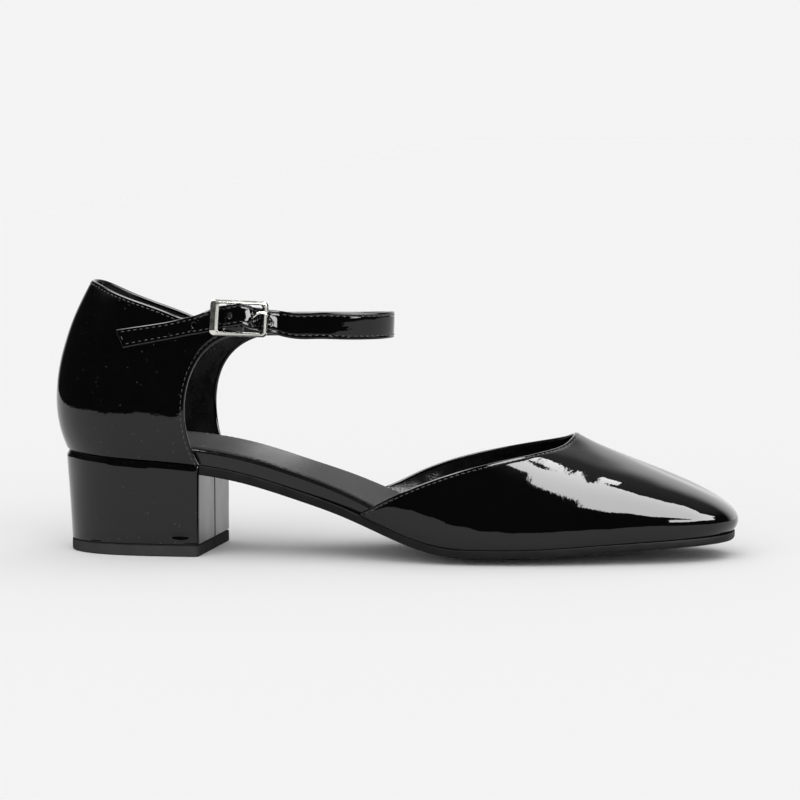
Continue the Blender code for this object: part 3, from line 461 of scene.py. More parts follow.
def place_of(side, x):
    """Where the feather line reaches x on one side, as a length along it from the heel back."""
    near, far = (0.0, TOE_PLACE) if side == LATERAL else (ROUND_TRIP, TOE_PLACE)
    for _ in range(HALVINGS):
        middle = (near + far) / 2
        if feather(middle)[0] < x:
            near = middle
        else:
            far = middle
    return (near + far) / 2


def outward(place):
    """Plan direction that points out of the shoe at a place on the feather line."""
    step = 0.2
    ahead = feather(np.asarray(place) + step) - feather(np.asarray(place) - step)
    ahead = unit(ahead)
    return np.stack((ahead[..., 1], -ahead[..., 0]), axis=-1)


def sole_under(x, y):
    """Height of the sole's curved underside, before its tread is flattened on the floor."""
    middle, rise, _, centre, half = np.moveaxis(sole_rows(x), -1, 0)
    return middle + rise * ((y - centre) / half) ** 2


def seat(x, y):
    """Height of the surface that carries upper and insole: the top of the outsole and of the heel."""
    return sole_under(x, y) + sole_rows(x)[..., 2]


def insole_top(x, y, layers):
    """Top of the insole board (1 layer) or of the sock on it (2 layers)."""
    return seat(x, y) + GAP * layers + insole_rows(x)[..., :layers].sum(axis=-1)


def rib_surface(places, low, high, tops):
    """A surface of cubic ribs over the feather line, as a function of place and share of the height."""
    low, high, tops = (spline(places, rows) for rows in (low, high, tops))

    def at(place, share):
        place, share = np.broadcast_arrays(np.asarray(place, float), np.asarray(share, float))
        foot = feather(place)
        foot = np.dstack((foot, seat(foot[..., 0], foot[..., 1]) + GAP))
        out, shift, rise = np.moveaxis(low(place), -1, 0)
        first = foot + np.dstack((outward(place) * out[..., None], rise))
        first[..., 0] += shift
        last = tops(place)
        second = last + high(place)
        t = share[..., None]
        return (1 - t) ** 3 * foot + 3 * t * (1 - t) ** 2 * first + 3 * t**2 * (1 - t) * second + t**3 * last

    return at


def vamp_surface():
    """The vamp's outer surface, with the places where its lateral and medial wings end."""
    rows = np.asarray(VAMP, float)
    places = [place_of(side, x) for side, x in rows[:, :2]]
    low = np.column_stack((rows[:, 2], np.zeros(len(rows)), rows[:, 3]))
    return rib_surface(places, low, rows[:, 7:10], rows[:, 4:7]), places[0], places[-1]


def quarter_surface():
    """The quarter's outer surface, with the places of its medial and lateral front edges."""
    rows = np.asarray(QUARTER[::-1], float)
    places = [place_of(side, x) - (ROUND_TRIP if side == MEDIAL else 0.0) for side, x in rows[:, :2]]
    return rib_surface(places, rows[:, 2:5], rows[:, 8:11], rows[:, 5:8]), places[0], places[-1]


def normals(surface, place, share):
    """Outward unit normals of a rib surface."""
    step, rise = 0.15, 0.01
    along = surface(place + step, share) - surface(place - step, share)
    up = surface(place, np.minimum(share + rise, 1)) - surface(place, np.maximum(share - rise, 0))
    return unit(np.cross(along, up))


def edge_points(places, margin):
    """Points at a margin outside the feather line, in plan."""
    point = feather(places)
    return point + outward(places) * margin(point[..., 0])[..., None]


def breast_place(side, ahead=0.0):
    """Place on the feather line ahead of the heel's front face, which is turned a little."""
    return place_of(side, BREAST_X + BREAST_TURN * side + ahead)


def buckle_axes():
    """Directions of the buckle: along it towards the toe, out of the shoe, and up its centre bar."""
    along = unit(np.array((math.cos(BUCKLE_TURN), math.sin(BUCKLE_TURN), -BUCKLE_DROP)))
    out = np.array((math.sin(BUCKLE_TURN), -math.cos(BUCKLE_TURN), 0.0))
    return np.stack((along, out, np.cross(out, along)))


def in_buckle(points):
    """Points of the shoe from points in the buckle's own frame: along, depth, height."""
    return np.asarray(points, float) @ buckle_axes() + BUCKLE_CENTRE


def on_surface(surface, guess, x, z):
    """The point of a rib surface at x and z with its outward normal, from a guess of place and share."""
    where = np.array(guess, float)
    step = 0.01
    for _ in range(SEARCHES):
        grid = where + np.array(((0.0, 0.0), (step, 0.0), (0.0, step)))
        points = surface(grid[None, :, 0], grid[None, :, 1])[0][:, [0, 2]]
        slope = (points[1:] - points[0]).T / step
        move = np.linalg.solve(slope, points[0] - (x, z))
        where -= np.clip(move, -SEARCH_STEP, SEARCH_STEP)
    place, share = where.reshape(2, 1, 1)
    return surface(place, share)[0, 0], normals(surface, place, share)[0, 0]


def strap_line():
    """The strap's middle line with its upward direction, by length from the free end, and its knots."""
    surface, medial, lateral = quarter_surface()
    upright = np.array((0.0, 0.0, 1.0))
    rows = []

    def lay(front, table_rows):
        for x, z, off in table_rows:
            point, normal = on_surface(surface, (front * SIDE_SHARE, TOP_SHARE), x, z)
            rows.append(np.r_[point + normal * (off + STRAP_THICKNESS / 2), upright - normal * normal[2]])

    lay(lateral, STRAP_TAIL)
    _, out, up = buckle_axes()
    for *point, lean in STRAP_IN_BUCKLE:
        rows.append(np.r_[in_buckle(point), up - out * math.tan(math.radians(lean))])
    for *point, lean in STRAP_FRONT:
        inward = unit(np.subtract(ANKLE_MIDDLE, point[:2]))
        rows.append(np.r_[point, inward * math.tan(math.radians(lean)), 1.0])
    lay(medial, STRAP_END)
    knots = chord(np.array(rows)[:, :3])
    return spline(knots, rows), knots


def strap_frame(line, length):
    """Middle of the strap, and its forward, outward and upward directions, at a length along it."""
    step = 0.05
    row = line(length)
    ahead = unit(line(length + step)[..., :3] - line(length - step)[..., :3])
    out = unit(np.cross(ahead, row[..., 3:]))
    return row[..., :3], ahead, out, np.cross(out, ahead)


def to_part(points):
    """Metres in the part's frame, from millimetres."""
    return (np.asarray(points, float) - (LENGTH / 2, MIDDLE_Y, 0.0)) * METRE


def smooth_step(value, low, high):
    """0 below low, 1 above high, with a smooth rise between."""
    share = np.clip((value - low) / (high - low), 0, 1)
    return share * share * (3 - 2 * share)


def ripple(points, low, high, seed, count=48):
    """Uneven relief of about unit strength: waves in all directions, with lengths from low to high."""
    pick = np.random.default_rng(seed)
    direction = unit(pick.normal(size=(count, 3)))
    number = 2 * math.pi / pick.uniform(low, high, count)
    phase = pick.uniform(0, 2 * math.pi, count)
    return np.sin(points @ (direction * number[:, None]).T + phase).sum(axis=-1) * math.sqrt(2 / count)


def waves(points, rows):
    """The sum of ripples, each one given as height, shortest wave, longest wave and seed."""
    return sum(height * ripple(points, low, high, seed) for height, low, high, seed in rows)


def distance_to(points, line):
    """Distance from each point to the nearest point of a line."""
    tree = KDTree(len(line))
    for i, point in enumerate(line):
        tree.insert(point, i)
    tree.balance()
    flat = points.reshape(-1, 3)
    return np.array([tree.find(point)[2] for point in flat]).reshape(points.shape[:-1])


def bullnose(off, reach, deep):
    """Half thickness of a sheet with round edges, at a distance off the edge."""
    return deep * np.sqrt(1 - (1 - np.clip(off / reach, 0, 1)) ** 2)


def groove(off, inset):
    """Depth of the groove of a stitch row, at a distance off the edge."""
    return GROOVE_DEPTH * np.exp(-(((off - inset) / GROOVE_WIDTH) ** 2))


def quarter_round(radius, steps):
    """Rows of (way in, way down) round an edge, from its side to its top."""
    turn = np.linspace(0, math.pi / 2, steps)
    return np.column_stack((radius * (1 - np.cos(turn)), radius * (1 - np.sin(turn))))


def bend(start, tip, end, turn):
    """Points of a round corner, from start to end with its tip cut off."""
    return (1 - turn) ** 2 * start + 2 * turn * (1 - turn) * tip + turn**2 * end


def fillet(profile, radius, steps):
    """A closed profile with round corners. Each row is a point, and all its columns are rounded."""
    rows = []
    for k, tip in enumerate(profile):
        before, after = profile[k - 1] - tip, profile[(k + 1) % len(profile)] - tip
        start = tip + before * min(FILLET_SHARE, radius / np.linalg.norm(before))
        stop = tip + after * min(FILLET_SHARE, radius / np.linalg.norm(after))
        rows.append(bend(start, tip, stop, np.linspace(0, 1, steps)[:, None]))
    return np.concatenate(rows)


def at_height(plan, height):
    """Points of a plan at one height."""
    return np.column_stack((plan, np.full(len(plan), height)))


def along_line(length, rows, where):
    """Rows of a line, given with the length along it, at other lengths."""
    return np.stack([np.interp(where, length, column) for column in rows.T], axis=-1)


def grid_faces(rows, columns, start=0, closed=False):
    """Faces of a grid of points, which closes on its columns if asked."""
    faces = []
    for i in range(rows - 1):
        near, far = start + i * columns, start + (i + 1) * columns
        for j in range(columns if closed else columns - 1):
            k = (j + 1) % columns
            faces.append((near + j, far + j, far + k, near + k))
    return faces


def ring_solid(rings):
    """Points and faces of a solid through rings, closed at both ends."""
    points = np.stack(rings)
    count, size = points.shape[:2]
    faces = grid_faces(count, size, closed=True)
    faces.append(tuple(range(size)))
    faces.append(tuple(range((count - 1) * size, count * size))[::-1])
    return points.reshape(-1, 3), faces


def join(parts):
    """Several sets of points and faces as one."""
    points, faces, first = [], [], 0
    for some_points, some_faces in parts:
        points.append(some_points)
        faces.extend(tuple(v + first for v in face) for face in some_faces)
        first += len(some_points)
    return np.concatenate(points), faces


def add_piece(name, points, faces, materials, slot=None, nodes=(), picks=None):
    """A smooth piece that rides on the shoe. picks gives the material of each face."""
    mesh = bpy.data.meshes.new(name)
    mesh.from_pydata(to_part(points).tolist(), [], [tuple(int(v) for v in face) for face in faces])
    for material in materials:
        mesh.materials.append(material)
    if picks is not None:
        mesh.polygons.foreach_set("material_index", np.asarray(picks, np.int32))
    made = bmesh.new()
    made.from_mesh(mesh)
    bmesh.ops.remove_doubles(made, verts=made.verts, dist=WELD)
    bmesh.ops.dissolve_degenerate(made, edges=made.edges, dist=WELD)
    bmesh.ops.recalc_face_normals(made, faces=made.faces)
    made.to_mesh(mesh)
    made.free()
    mesh.shade_smooth()
    mesh.set_sharp_from_angle(angle=SHARP_ANGLE)
    piece = bpy.data.objects.new(name, mesh)
    bpy.context.scene.collection.objects.link(piece)
    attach(piece, "root")
    if nodes:
        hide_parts(*nodes)
    return piece


def rib_places(start, end, step):
    """Places along a sheet, close together at its two ends."""
    last = EDGE_STEPS[-1]
    inner = np.linspace(start + last, end - last, int((end - start) / step))
    return np.r_[start + EDGE_STEPS[:-1], inner, (end - EDGE_STEPS[:-1])[::-1]]


def rib_shares(surface, places, rows):
    """Shares of the height at each place, from the top edge in small steps and then evenly down."""
    trial = np.linspace(0, 1, RIB_SAMPLES)
    curve = surface(*np.meshgrid(places, trial, indexing="ij"))
    shares = []
    for rib in curve:
        length = chord(rib)
        steps = EDGE_STEPS * min(1.0, length[-1] / 2 / EDGE_STEPS[-1])
        down = np.r_[steps, np.linspace(steps[-1], length[-1], rows + 1)[1:]]
        shares.append(np.interp(length[-1] - down, length, trial))
    return np.array(shares)


def stitch_line(edge, normal, inset):
    """A line on a sheet at an inset from its free edge, with the sheet's normals along it."""
    ahead = unit(np.gradient(edge, axis=0))
    line = edge + np.cross(ahead, normal) * inset
    kept = distance_to(line, edge) > inset * STITCH_KEPT
    return line[kept], normal[kept]


def stitch_row(line, normal, pitch):
    """Points and faces of short threads along a line on a surface."""
    length = chord(line)
    count = int(length[-1] / pitch)
    at = (np.arange(count) + 0.5) * length[-1] / count
    ahead = along_line(length, line, at + STITCH_AHEAD) - along_line(length, line, at - STITCH_AHEAD)
    ahead = unit(ahead)
    out = along_line(length, normal, at)
    out = unit(out - ahead * (out * ahead).sum(axis=1, keepdims=True))
    turn = np.arange(STITCH_SIDES) * 2 * math.pi / STITCH_SIDES
    threads = []
    for middle, forward, up in zip(along_line(length, line, at), ahead, out):
        side = np.cross(forward, up)
        loops = []
        for share in np.linspace(-1, 1, STITCH_SECTIONS):
            thin = math.sqrt(1 - (STITCH_TAPER * share) ** 2)
            deep = STITCH_SUNK + STITCH_DIVE * share**4
            wide = side * (np.cos(turn) * STITCH_WIDE / 2 * thin**0.5)[:, None]
            high = up * (np.sin(turn) * STITCH_HIGH / 2 * thin)[:, None]
            loops.append(middle + forward * share * STITCH_LONG / 2 - up * deep + wide + high)
        threads.append(ring_solid(loops))
    return join(threads)


def build_sheet(name, surface, start, end, wall, rows, lining):
    """A wall of the upper with round free edges, a stitched groove, and patent outside and lining inside."""
    places = rib_places(start, end, SHEET_STEP)
    shares = rib_shares(surface, places, rows)
    place = np.repeat(places[:, None], shares.shape[1], axis=1)
    skin = surface(place, shares)
    normal = normals(surface, place, shares)
    edge, edge_normal = (np.concatenate((grid[0, ::-1], grid[1:-1, 0], grid[-1])) for grid in (skin, normal))
    off = distance_to(skin, edge)
    half = bullnose(off, wall / 2, wall / 2)
    away = smooth_step(off, *SHEET_CALM)
    middle = skin - normal * wall / 2
    raised = half - groove(off, STITCH_INSET) + waves(skin, PATENT_WAVES) * away
    outer = middle + normal * raised[..., None]
    inner = middle - normal * (half + lining(skin) * away)[..., None]
    inner[:, -1, 2] = seat(inner[:, -1, 0], inner[:, -1, 1]) + GAP
    points = np.concatenate((outer, inner)).reshape(-1, 3)
    rows, columns = off.shape
    inside = grid_faces(rows, columns, off.size)
    bottom = np.arange(rows) * columns + columns - 1
    under = [(near, far, far + off.size, near + off.size) for near, far in zip(bottom[:-1], bottom[1:])]
    faces = grid_faces(rows, columns) + inside + under
    lined = off.ravel() >= FOLD_REACH
    picks = [0] * len(inside) + [int(lined[face[0] - off.size]) for face in inside] + [0] * len(under)
    add_piece(f"{name}_patent", points, faces, (PATENT, LINING), "patent_upper", (name,), picks)
    threads = stitch_row(*stitch_line(edge, edge_normal, STITCH_INSET), STITCH_PITCH)
    add_piece(f"{name}_stitches", *threads, (THREAD,))


def vamp_lining(skin):
    """Relief of the vamp's lining, with the creases of the medial wing."""
    wing = smooth_step(skin[..., 1], *CREASE_Y) * (1 - smooth_step(skin[..., 0], *CREASE_X))
    return waves(skin, VAMP_LINING_WAVES) + wing * waves(skin * CREASE_STRETCH, CREASES)


def quarter_lining(skin):
    """Relief of the quarter's lining."""
    return waves(skin, QUARTER_LINING_WAVES)


def build_upper():
    build_sheet("vamp", *vamp_surface(), VAMP_WALL, VAMP_ROWS, vamp_lining)
    build_sheet("quarter", *quarter_surface(), QUARTER_WALL, QUARTER_ROWS, quarter_lining)


def plate(start, side, across):
    """Points and faces of a plate along the foot.

    side lists (margin outside the feather line, height) up the lateral edge. The top runs across between the
    last rows of both edges, and the underside between the first ones."""
    shares = (1 - np.cos(np.linspace(0, math.pi, PLATE_SECTIONS))) / 2 * (1 - TOE_STOP)
    lateral, medial = (first + (TOE_PLACE - first) * shares for first in start)
    between = np.linspace(0, 1, across)[1:-1]
    loop = [(*row, 0.0) for row in side] + [(*side[-1], share) for share in between]
    loop += [(*row, 1.0) for row in side[::-1]] + [(*side[0], share) for share in between[::-1]]
    columns = []
    for margin, height, share in loop:
        near, far = edge_points(lateral, margin), edge_points(medial, margin)
        point = near + (far - near) * share
        columns.append(np.column_stack((point, height(point[:, 0], point[:, 1]))))
    return ring_solid(np.stack(columns, axis=1))


def level(base, offset):
    """A height function moved by an offset."""
    return lambda x, y: base(x, y) + offset


def inset_by(depth):
    """A margin function that lies inside the feather line by a depth."""
    return lambda x: np.full_like(x, -depth)


def build_outsole():
    def edge(depth):
        return lambda x: sole_edge(x)[..., 0] - depth

    def tread(rise):
        return lambda x, y: np.maximum(sole_under(x, y) + rise, rise)

    side = [(edge(inward), tread(rise)) for inward, rise in quarter_round(SOLE_BEVEL, BEVEL_STEPS)[::-1]]
    side += [(edge(inward), level(seat, -drop)) for inward, drop in quarter_round(SOLE_RIM, RIM_STEPS)]
    start = (breast_place(LATERAL, GAP), breast_place(MEDIAL, GAP))
    add_piece("outsole_rubber", *plate(start, side, SOLE_ACROSS), (OUTSOLE,), "outsole_rubber", ("outsole",))


def build_insole():
    start = (SOCK_START, ROUND_TRIP - SOCK_START)
    margin = inset_by(SOCK_INSET)
    near, far = (edge_points(np.linspace(first, TOE_PLACE, SOCK_SAMPLES), margin) for first in start)

    def board_top(x, y):
        return insole_top(x, y, 1)

    def sock_top(x, y):
        low, high = (np.interp(x, *side.T) for side in (near, far))
        across = np.clip((2 * y - low - high) / np.maximum(high - low, SOCK_ROUND), -1, 1)
        return insole_top(x, y, 2) + SOCK_CROWN * (1 - across**2)

    side = [(inset_by(BOARD_INSET + BOARD_UNDERCUT), level(seat, GAP))]
    side += [(inset_by(BOARD_INSET + inward), level(board_top, -drop)) for inward, drop in BOARD_BEVEL]
    board = plate(start, side, BOARD_ACROSS)
    add_piece("insole_board_patent", *board, (BOARD,), "patent_board", ("insole_board",))

    side = [(margin, level(board_top, GAP))]
    for inward, drop in quarter_round(SOCK_ROUND, SOCK_STEPS):
        side.append((inset_by(SOCK_INSET + inward), level(sock_top, -drop)))
    pad = plate(start, side, SOCK_ACROSS)
    sock = add_piece("insole_sock_pad", *pad, (SOCK,), "sock_leather", ("insole_sock",))

    threads = []
    for first in start:
        places = np.linspace(first, TOE_PLACE, LINE_SAMPLES)[SOCK_ENDS:-SOCK_ENDS]
        point = edge_points(places, inset_by(SOCK_INSET + SOCK_STITCH))
        line = np.column_stack((point, sock_top(point[:, 0], point[:, 1])))
        threads.append(stitch_row(line, np.tile((0.0, 0.0, 1.0), (len(line), 1)), SOCK_PITCH))
    add_piece("sock_stitches", *join(threads), (THREAD,))


def heel_loop(lateral, medial, corner):
    """A ring round the heel through its lateral side, its breast and its medial side, with round corners."""
    reach = []
    for side in (lateral, medial[::-1]):
        length = chord(side)
        reach.append(along_line(length, side, np.linspace(0, 1, HEEL_SIDES) * (length[-1] - corner)))
    first, last = lateral[-1], medial[0]
    wide = np.linalg.norm(last - first)
    seam = wide * SEAM_SHARE
    middle = np.r_[
        np.linspace(corner, seam - SEAM_ROOM, BREAST_STEPS),
        seam + SEAM_STEPS,
        np.linspace(seam + SEAM_ROOM, wide - corner, BREAST_STEPS),
    ]
    breast = first + unit(last - first) * middle[:, None]
    turn = np.linspace(0, 1, CORNER_STEPS + 2)[1:-1, None]
    front = bend(reach[0][-1], first, breast[0], turn)
    back = bend(breast[-1], last, reach[1][-1], turn)
    return np.concatenate((reach[0], front, breast, back, reach[1][::-1][:-1]))


def heel_seat(inset):
    """The heel's lateral and medial sides in plan at its seat."""
    lateral = np.linspace(SOCK_START, breast_place(LATERAL), HEEL_SAMPLES)
    medial = np.linspace(breast_place(MEDIAL), ROUND_TRIP + SOCK_START, HEEL_SAMPLES)
    return edge_points(lateral, inset_by(inset)), edge_points(medial, inset_by(inset))


def lift_plan(inset):
    """The lift's lateral and medial sides in plan."""
    rows = np.asarray(LIFT_OUTLINE, float)
    rows = rows - unit(rows - (LIFT_MIDDLE_X, MIDDLE_Y)) * inset
    rows = np.vstack((rows[LIFT_CORNER + 1 :], rows[: LIFT_CORNER + 1]))
    length = chord(rows)
    back = length[len(rows) - LIFT_CORNER - 1]
    curve = spline(length, rows)
    return curve(np.linspace(back, length[-1], HEEL_SAMPLES)), curve(np.linspace(0, back, HEEL_SAMPLES))


def build_heel():
    rings = []
    for inset, drop in HEEL_TOP:
        corner = HEEL_TIP + (HEEL_CORNER - HEEL_TIP) * (drop / HEEL_TOP[-1][1]) ** 2
        plan = heel_loop(*heel_seat(inset), corner)
        rings.append(np.column_stack((plan, seat(plan[:, 0], plan[:, 1]) - drop)))
    rim = len(rings) - 1
    top = rings[rim]
    bottom = at_height(heel_loop(*lift_plan(0.0), HEEL_CORNER), LIFT_HEIGHT + GAP)
    for share in np.r_[np.linspace(0, HEEL_FINE, HEEL_ROWS)[1:], np.linspace(HEEL_FINE, 1, HEEL_ROWS)[1:]]:
        rings.append(top + (bottom - top) * share)
    rings = np.stack(rings)
    seam = slice(SEAM_COLUMN, SEAM_COLUMN + len(SEAM_STEPS))
    lap = SEAM_LAP * smooth_step(SEAM_STEPS, *LAP_RISE) * (1 - smooth_step(SEAM_STEPS, *LAP_FALL))
    rings[rim:, seam, 0] += lap - SEAM_DEPTH * np.exp(-((SEAM_STEPS / SEAM_WIDTH) ** 2))
    away = np.linalg.norm((rings - DIMPLE_AT) / DIMPLE_SIZE, axis=-1)
    rings[..., 1] += DIMPLE_DEPTH * np.exp(-(away**2)) * (rings[..., 1] < 0)
    swell = unit(rings[..., :2] - (LIFT_MIDDLE_X, MIDDLE_Y)) * waves(rings, HEEL_WAVES)[..., None]
    rings[rim:-HEEL_PLAIN, :, :2] += swell[rim:-HEEL_PLAIN]
    add_piece("heel_block_patent", *ring_solid(rings), (HEEL,), "patent_heel", ("heel_block",))


def build_lift():
    rows = [(inset, LIFT_HEIGHT - drop) for inset, drop in LIFT_RIM]
    rows.extend(quarter_round(LIFT_BEVEL, LIFT_STEPS))
    rings = [at_height(heel_loop(*lift_plan(inset), HEEL_CORNER), height) for inset, height in rows]
    rings = np.stack(rings)
    front = slice(HEEL_SIDES + CORNER_STEPS, -HEEL_SIDES - CORNER_STEPS)
    beside = (rings[..., 1] - rings[:, SEAM_COLUMN + len(SEAM_STEPS) // 2, 1, None]) / NOTCH_WIDE
    below = 1 - smooth_step(LIFT_HEIGHT - rings[..., 2], NOTCH_FULL, NOTCH_TALL)
    rings[:, front, 0] -= (NOTCH_DEPTH * np.exp(-(beside**4)) * below)[:, front]
    add_piece("heel_lift_rubber", *ring_solid(rings), (LIFT,), "lift_rubber", ("heel_top_lift",))


def strap_marks():
    """The strap's line, its length, and its holes: middle, half length and half height of each."""
    line, knots = strap_line()
    first = knots[len(STRAP_TAIL)]
    last = knots[len(STRAP_TAIL) + len(STRAP_IN_BUCKLE) - 1]
    trial = np.linspace(first, last, STRAP_SAMPLES)
    along = (line(trial)[:, :3] - BUCKLE_CENTRE) @ buckle_axes()[0]
    prong = np.interp(PRONG_ALONG, along, trial)
    plain = (HOLE_RADIUS, HOLE_RADIUS)
    return line, knots[-1], [(prong + step, *(plain if step else PRONG_HOLE)) for step in HOLE_STEPS]


def strap_lengths(end, holes):
    """Lengths along the strap at which it has points, with even steps over each hole."""
    even = np.arange(EDGE_STEPS[-1], end - EDGE_STEPS[-1], STRAP_STEP)
    lengths = np.r_[EDGE_STEPS, even, end - EDGE_STEPS]
    for middle, long, _ in holes:
        room = long + HOLE_ROOM
        lengths = lengths[np.abs(lengths - middle) > room + HOLE_CLEAR]
        lengths = np.r_[lengths, np.linspace(middle - room, middle + room, HOLE_CELLS + 1)]
    return np.unique(np.round(lengths, STRAP_DIGITS))


def slanted(across, lengths):
    """How far the slanted free end moves points along the strap."""
    return -STRAP_SLANT * across * (1 - smooth_step(lengths, 0.0, SLANT_LENGTH))


def hole_ring(i, j):
    """Grid places round the patch of cells that a hole is cut from."""
    size = HOLE_CELLS
    ring = [(i, j + k) for k in range(size)] + [(i + k, j + size) for k in range(size)]
    return ring + [(i + size, j + size - k) for k in range(size)] + [(i + size - k, j) for k in range(size)]


def build_strap():
    line, end, holes = strap_marks()
    lengths = strap_lengths(end, holes)
    half = table(STRAP_WIDTH)(lengths)[:, 0] / 2
    low = -half[:, None] + EDGE_STEPS[:STRAP_LADDER]
    centre = np.tile(np.linspace(-PATCH, PATCH, HOLE_CELLS + 1), (len(lengths), 1))
    across = np.hstack((low, centre, -low[:, ::-1]))
    rows, columns = across.shape
    off = np.minimum(half[:, None] - np.abs(across), np.minimum(lengths, end - lengths)[:, None])
    deep = bullnose(off, STRAP_EDGE, STRAP_THICKNESS / 2)
    middle, ahead, out, up = (rows_of[:, None] for rows_of in strap_frame(line, lengths))
    sheet = middle + up * across[..., None] + ahead * slanted(across, lengths[:, None])[..., None]
    swell = waves(sheet, STRAP_WAVES) * smooth_step(off, *STRAP_CALM)
    front = sheet + out * (deep - groove(off, STRAP_STITCH) + swell)[..., None]
    back = sheet - out * deep[..., None]
    points = np.concatenate((front, back)).reshape(-1, 3)
    count = rows * columns
    extra, faces, cut = [], [], set()
    for place, long, tall in holes:
        i, j = np.searchsorted(lengths, place - long - HOLE_ROOM - STRAP_SLACK), STRAP_LADDER
        ring = hole_ring(i, j)
        cells = np.arange(HOLE_CELLS)
        cut.update(((i + cells[:, None]) * (columns - 1) + j + cells).ravel().tolist())
        loops = [[a * columns + b for a, b in ring]]
        at, forward, outwards, upwards = strap_frame(line, place)
        corners = np.array([(lengths[a] - place, across[a, b]) for a, b in ring])
        turn = np.arctan2(corners[:, 1] / PATCH, corners[:, 0] / (long + HOLE_ROOM))
        for grow, depth in HOLE_RIM:
            first = 2 * count + len(extra)
            loops.append(list(range(first, first + len(ring))))
            rim = at + forward * (np.cos(turn) * (long + grow))[:, None] + outwards * depth
            extra.extend(rim + upwards * (np.sin(turn) * (tall + grow))[:, None])
        loops.append([count + a * columns + b for a, b in ring])
        for near, far in zip(loops[:-1], loops[1:]):
            faces.extend((near[k - 1], near[k], far[k], far[k - 1]) for k in range(len(ring)))
    kept = [face for k, face in enumerate(grid_faces(rows, columns)) if k not in cut]
    faces += kept + [tuple(v + count for v in face) for face in kept]
    points = np.vstack((points, extra))
    add_piece("ankle_strap_patent", points, faces, (PATENT,), "patent_strap", ("ankle_strap",))
    stitch_strap(line, end)


def stitch_strap(line, end):
    """Stitch rows along both edges of the strap and across its two ends."""
    places = np.linspace(STRAP_STITCH, end - STRAP_STITCH, LINE_SAMPLES)
    middle, ahead, out, up = strap_frame(line, places)
    inset = table(STRAP_WIDTH)(places)[:, 0] / 2 - STRAP_STITCH
    rows = []
    for across in (-inset, inset):
        sheet = middle + up * across[:, None] + ahead * slanted(across, places)[:, None]
        rows.append((sheet + out * STRAP_THICKNESS / 2, out))
    share = np.linspace(CROSS_FROM, CROSS_TO, CROSS_POINTS)[:, None]
    for k in (0, -1):
        near, far = rows[0][0][k], rows[1][0][k]
        rows.append((near + (far - near) * share, np.tile(out[k], (CROSS_POINTS, 1))))
    add_piece("strap_stitches", *join([stitch_row(*row, STRAP_PITCH) for row in rows]), (THREAD,))


def build_buckle():
    loops = []
    profile = fillet(np.asarray(BUCKLE_PROFILE, float), BUCKLE_ROUND, FRAME_STEPS)
    for rear, front, side, depth, corner in profile:
        tall = BUCKLE_HEIGHT / 2 - side - corner
        ring = []
        for turn, (x, z) in enumerate(((1, 1), (-1, 1), (-1, -1), (1, -1))):
            long = BUCKLE_LENGTH / 2 - (front if x > 0 else rear) - corner
            angle = (turn + np.linspace(0, 1, FRAME_CORNER)) * math.pi / 2
            ring.append(corner * np.column_stack((np.cos(angle), np.sin(angle))) + (x * long, z * tall))
        loops.append(np.insert(np.vstack(ring), 1, depth, axis=1))
    loops = np.stack(loops)
    upper = smooth_step(loops[..., 2], *(BUCKLE_HEIGHT / 2 - below for below in LEAN_BELOW_TOP))
    loops[..., 1] -= BUCKLE_LEAN * upper * smooth_step(loops[..., 1], *LEAN_DEPTH)
    size = loops.shape[1]
    last = (len(loops) - 1) * size
    faces = grid_faces(len(loops), size, closed=True)
    faces += [(last + k, k, (k + 1) % size, last + (k + 1) % size) for k in range(size)]

    square = [(-BAR_HALF, BAR_REAR), (BAR_HALF, BAR_REAR), (BAR_HALF, BAR_FRONT), (-BAR_HALF, BAR_FRONT)]
    ring = fillet(np.array(square), BAR_ROUND, BAR_STEPS)
    top = BUCKLE_HEIGHT / 2 - BAR_SUNK
    bar = ring_solid([at_height(ring, height) for height in (-top, top)])
    points, faces = join([(loops.reshape(-1, 3), faces), bar])
    add_piece("buckle_frame_metal", in_buckle(points), faces, (METAL,), "buckle_metal", ("buckle_frame",))


def build_prong():
    turn = np.linspace(-PRONG_OPEN, -1.5 * math.pi, PRONG_BENDS)
    ring = np.column_stack((PRONG_RING * np.cos(turn), BAR_DEPTH + PRONG_RING * np.sin(turn)))
    path = np.vstack((at_height(ring, PRONG_HEIGHT), PRONG_PATH))
    knots = chord(path)
    curve = spline(knots, path)
    end = knots[-1]
    tip = PRONG_TIP * np.cos(np.linspace(0, math.pi / 2, PRONG_TIP_STEPS))[1:]
    places = np.r_[np.linspace(0, end - PRONG_TIP, PRONG_SECTIONS), end - tip]
    ahead = unit(curve(places + PRONG_AHEAD) - curve(places - PRONG_AHEAD))
    taper = np.maximum(bullnose(end - places, PRONG_TIP, 1.0), PRONG_BLUNT)
    taper *= np.minimum(1.0, PRONG_SLIM + (end - places) * PRONG_GROWTH)
    angle = np.arange(PRONG_SIDES) * 2 * math.pi / PRONG_SIDES
    loops = []
    for (along, depth, height), (forward, outwards, _), size in zip(curve(places), ahead, taper):
        across = np.cos(angle) * PRONG_RADIUS * size
        rise = height + np.sin(angle) * PRONG_RADIUS * size
        loops.append(np.column_stack((along - outwards * across, depth + forward * across, rise)))
    points, faces = ring_solid(loops)
    add_piece("buckle_prong_metal", in_buckle(points), faces, (METAL,), "buckle_metal", ("buckle_prong",))


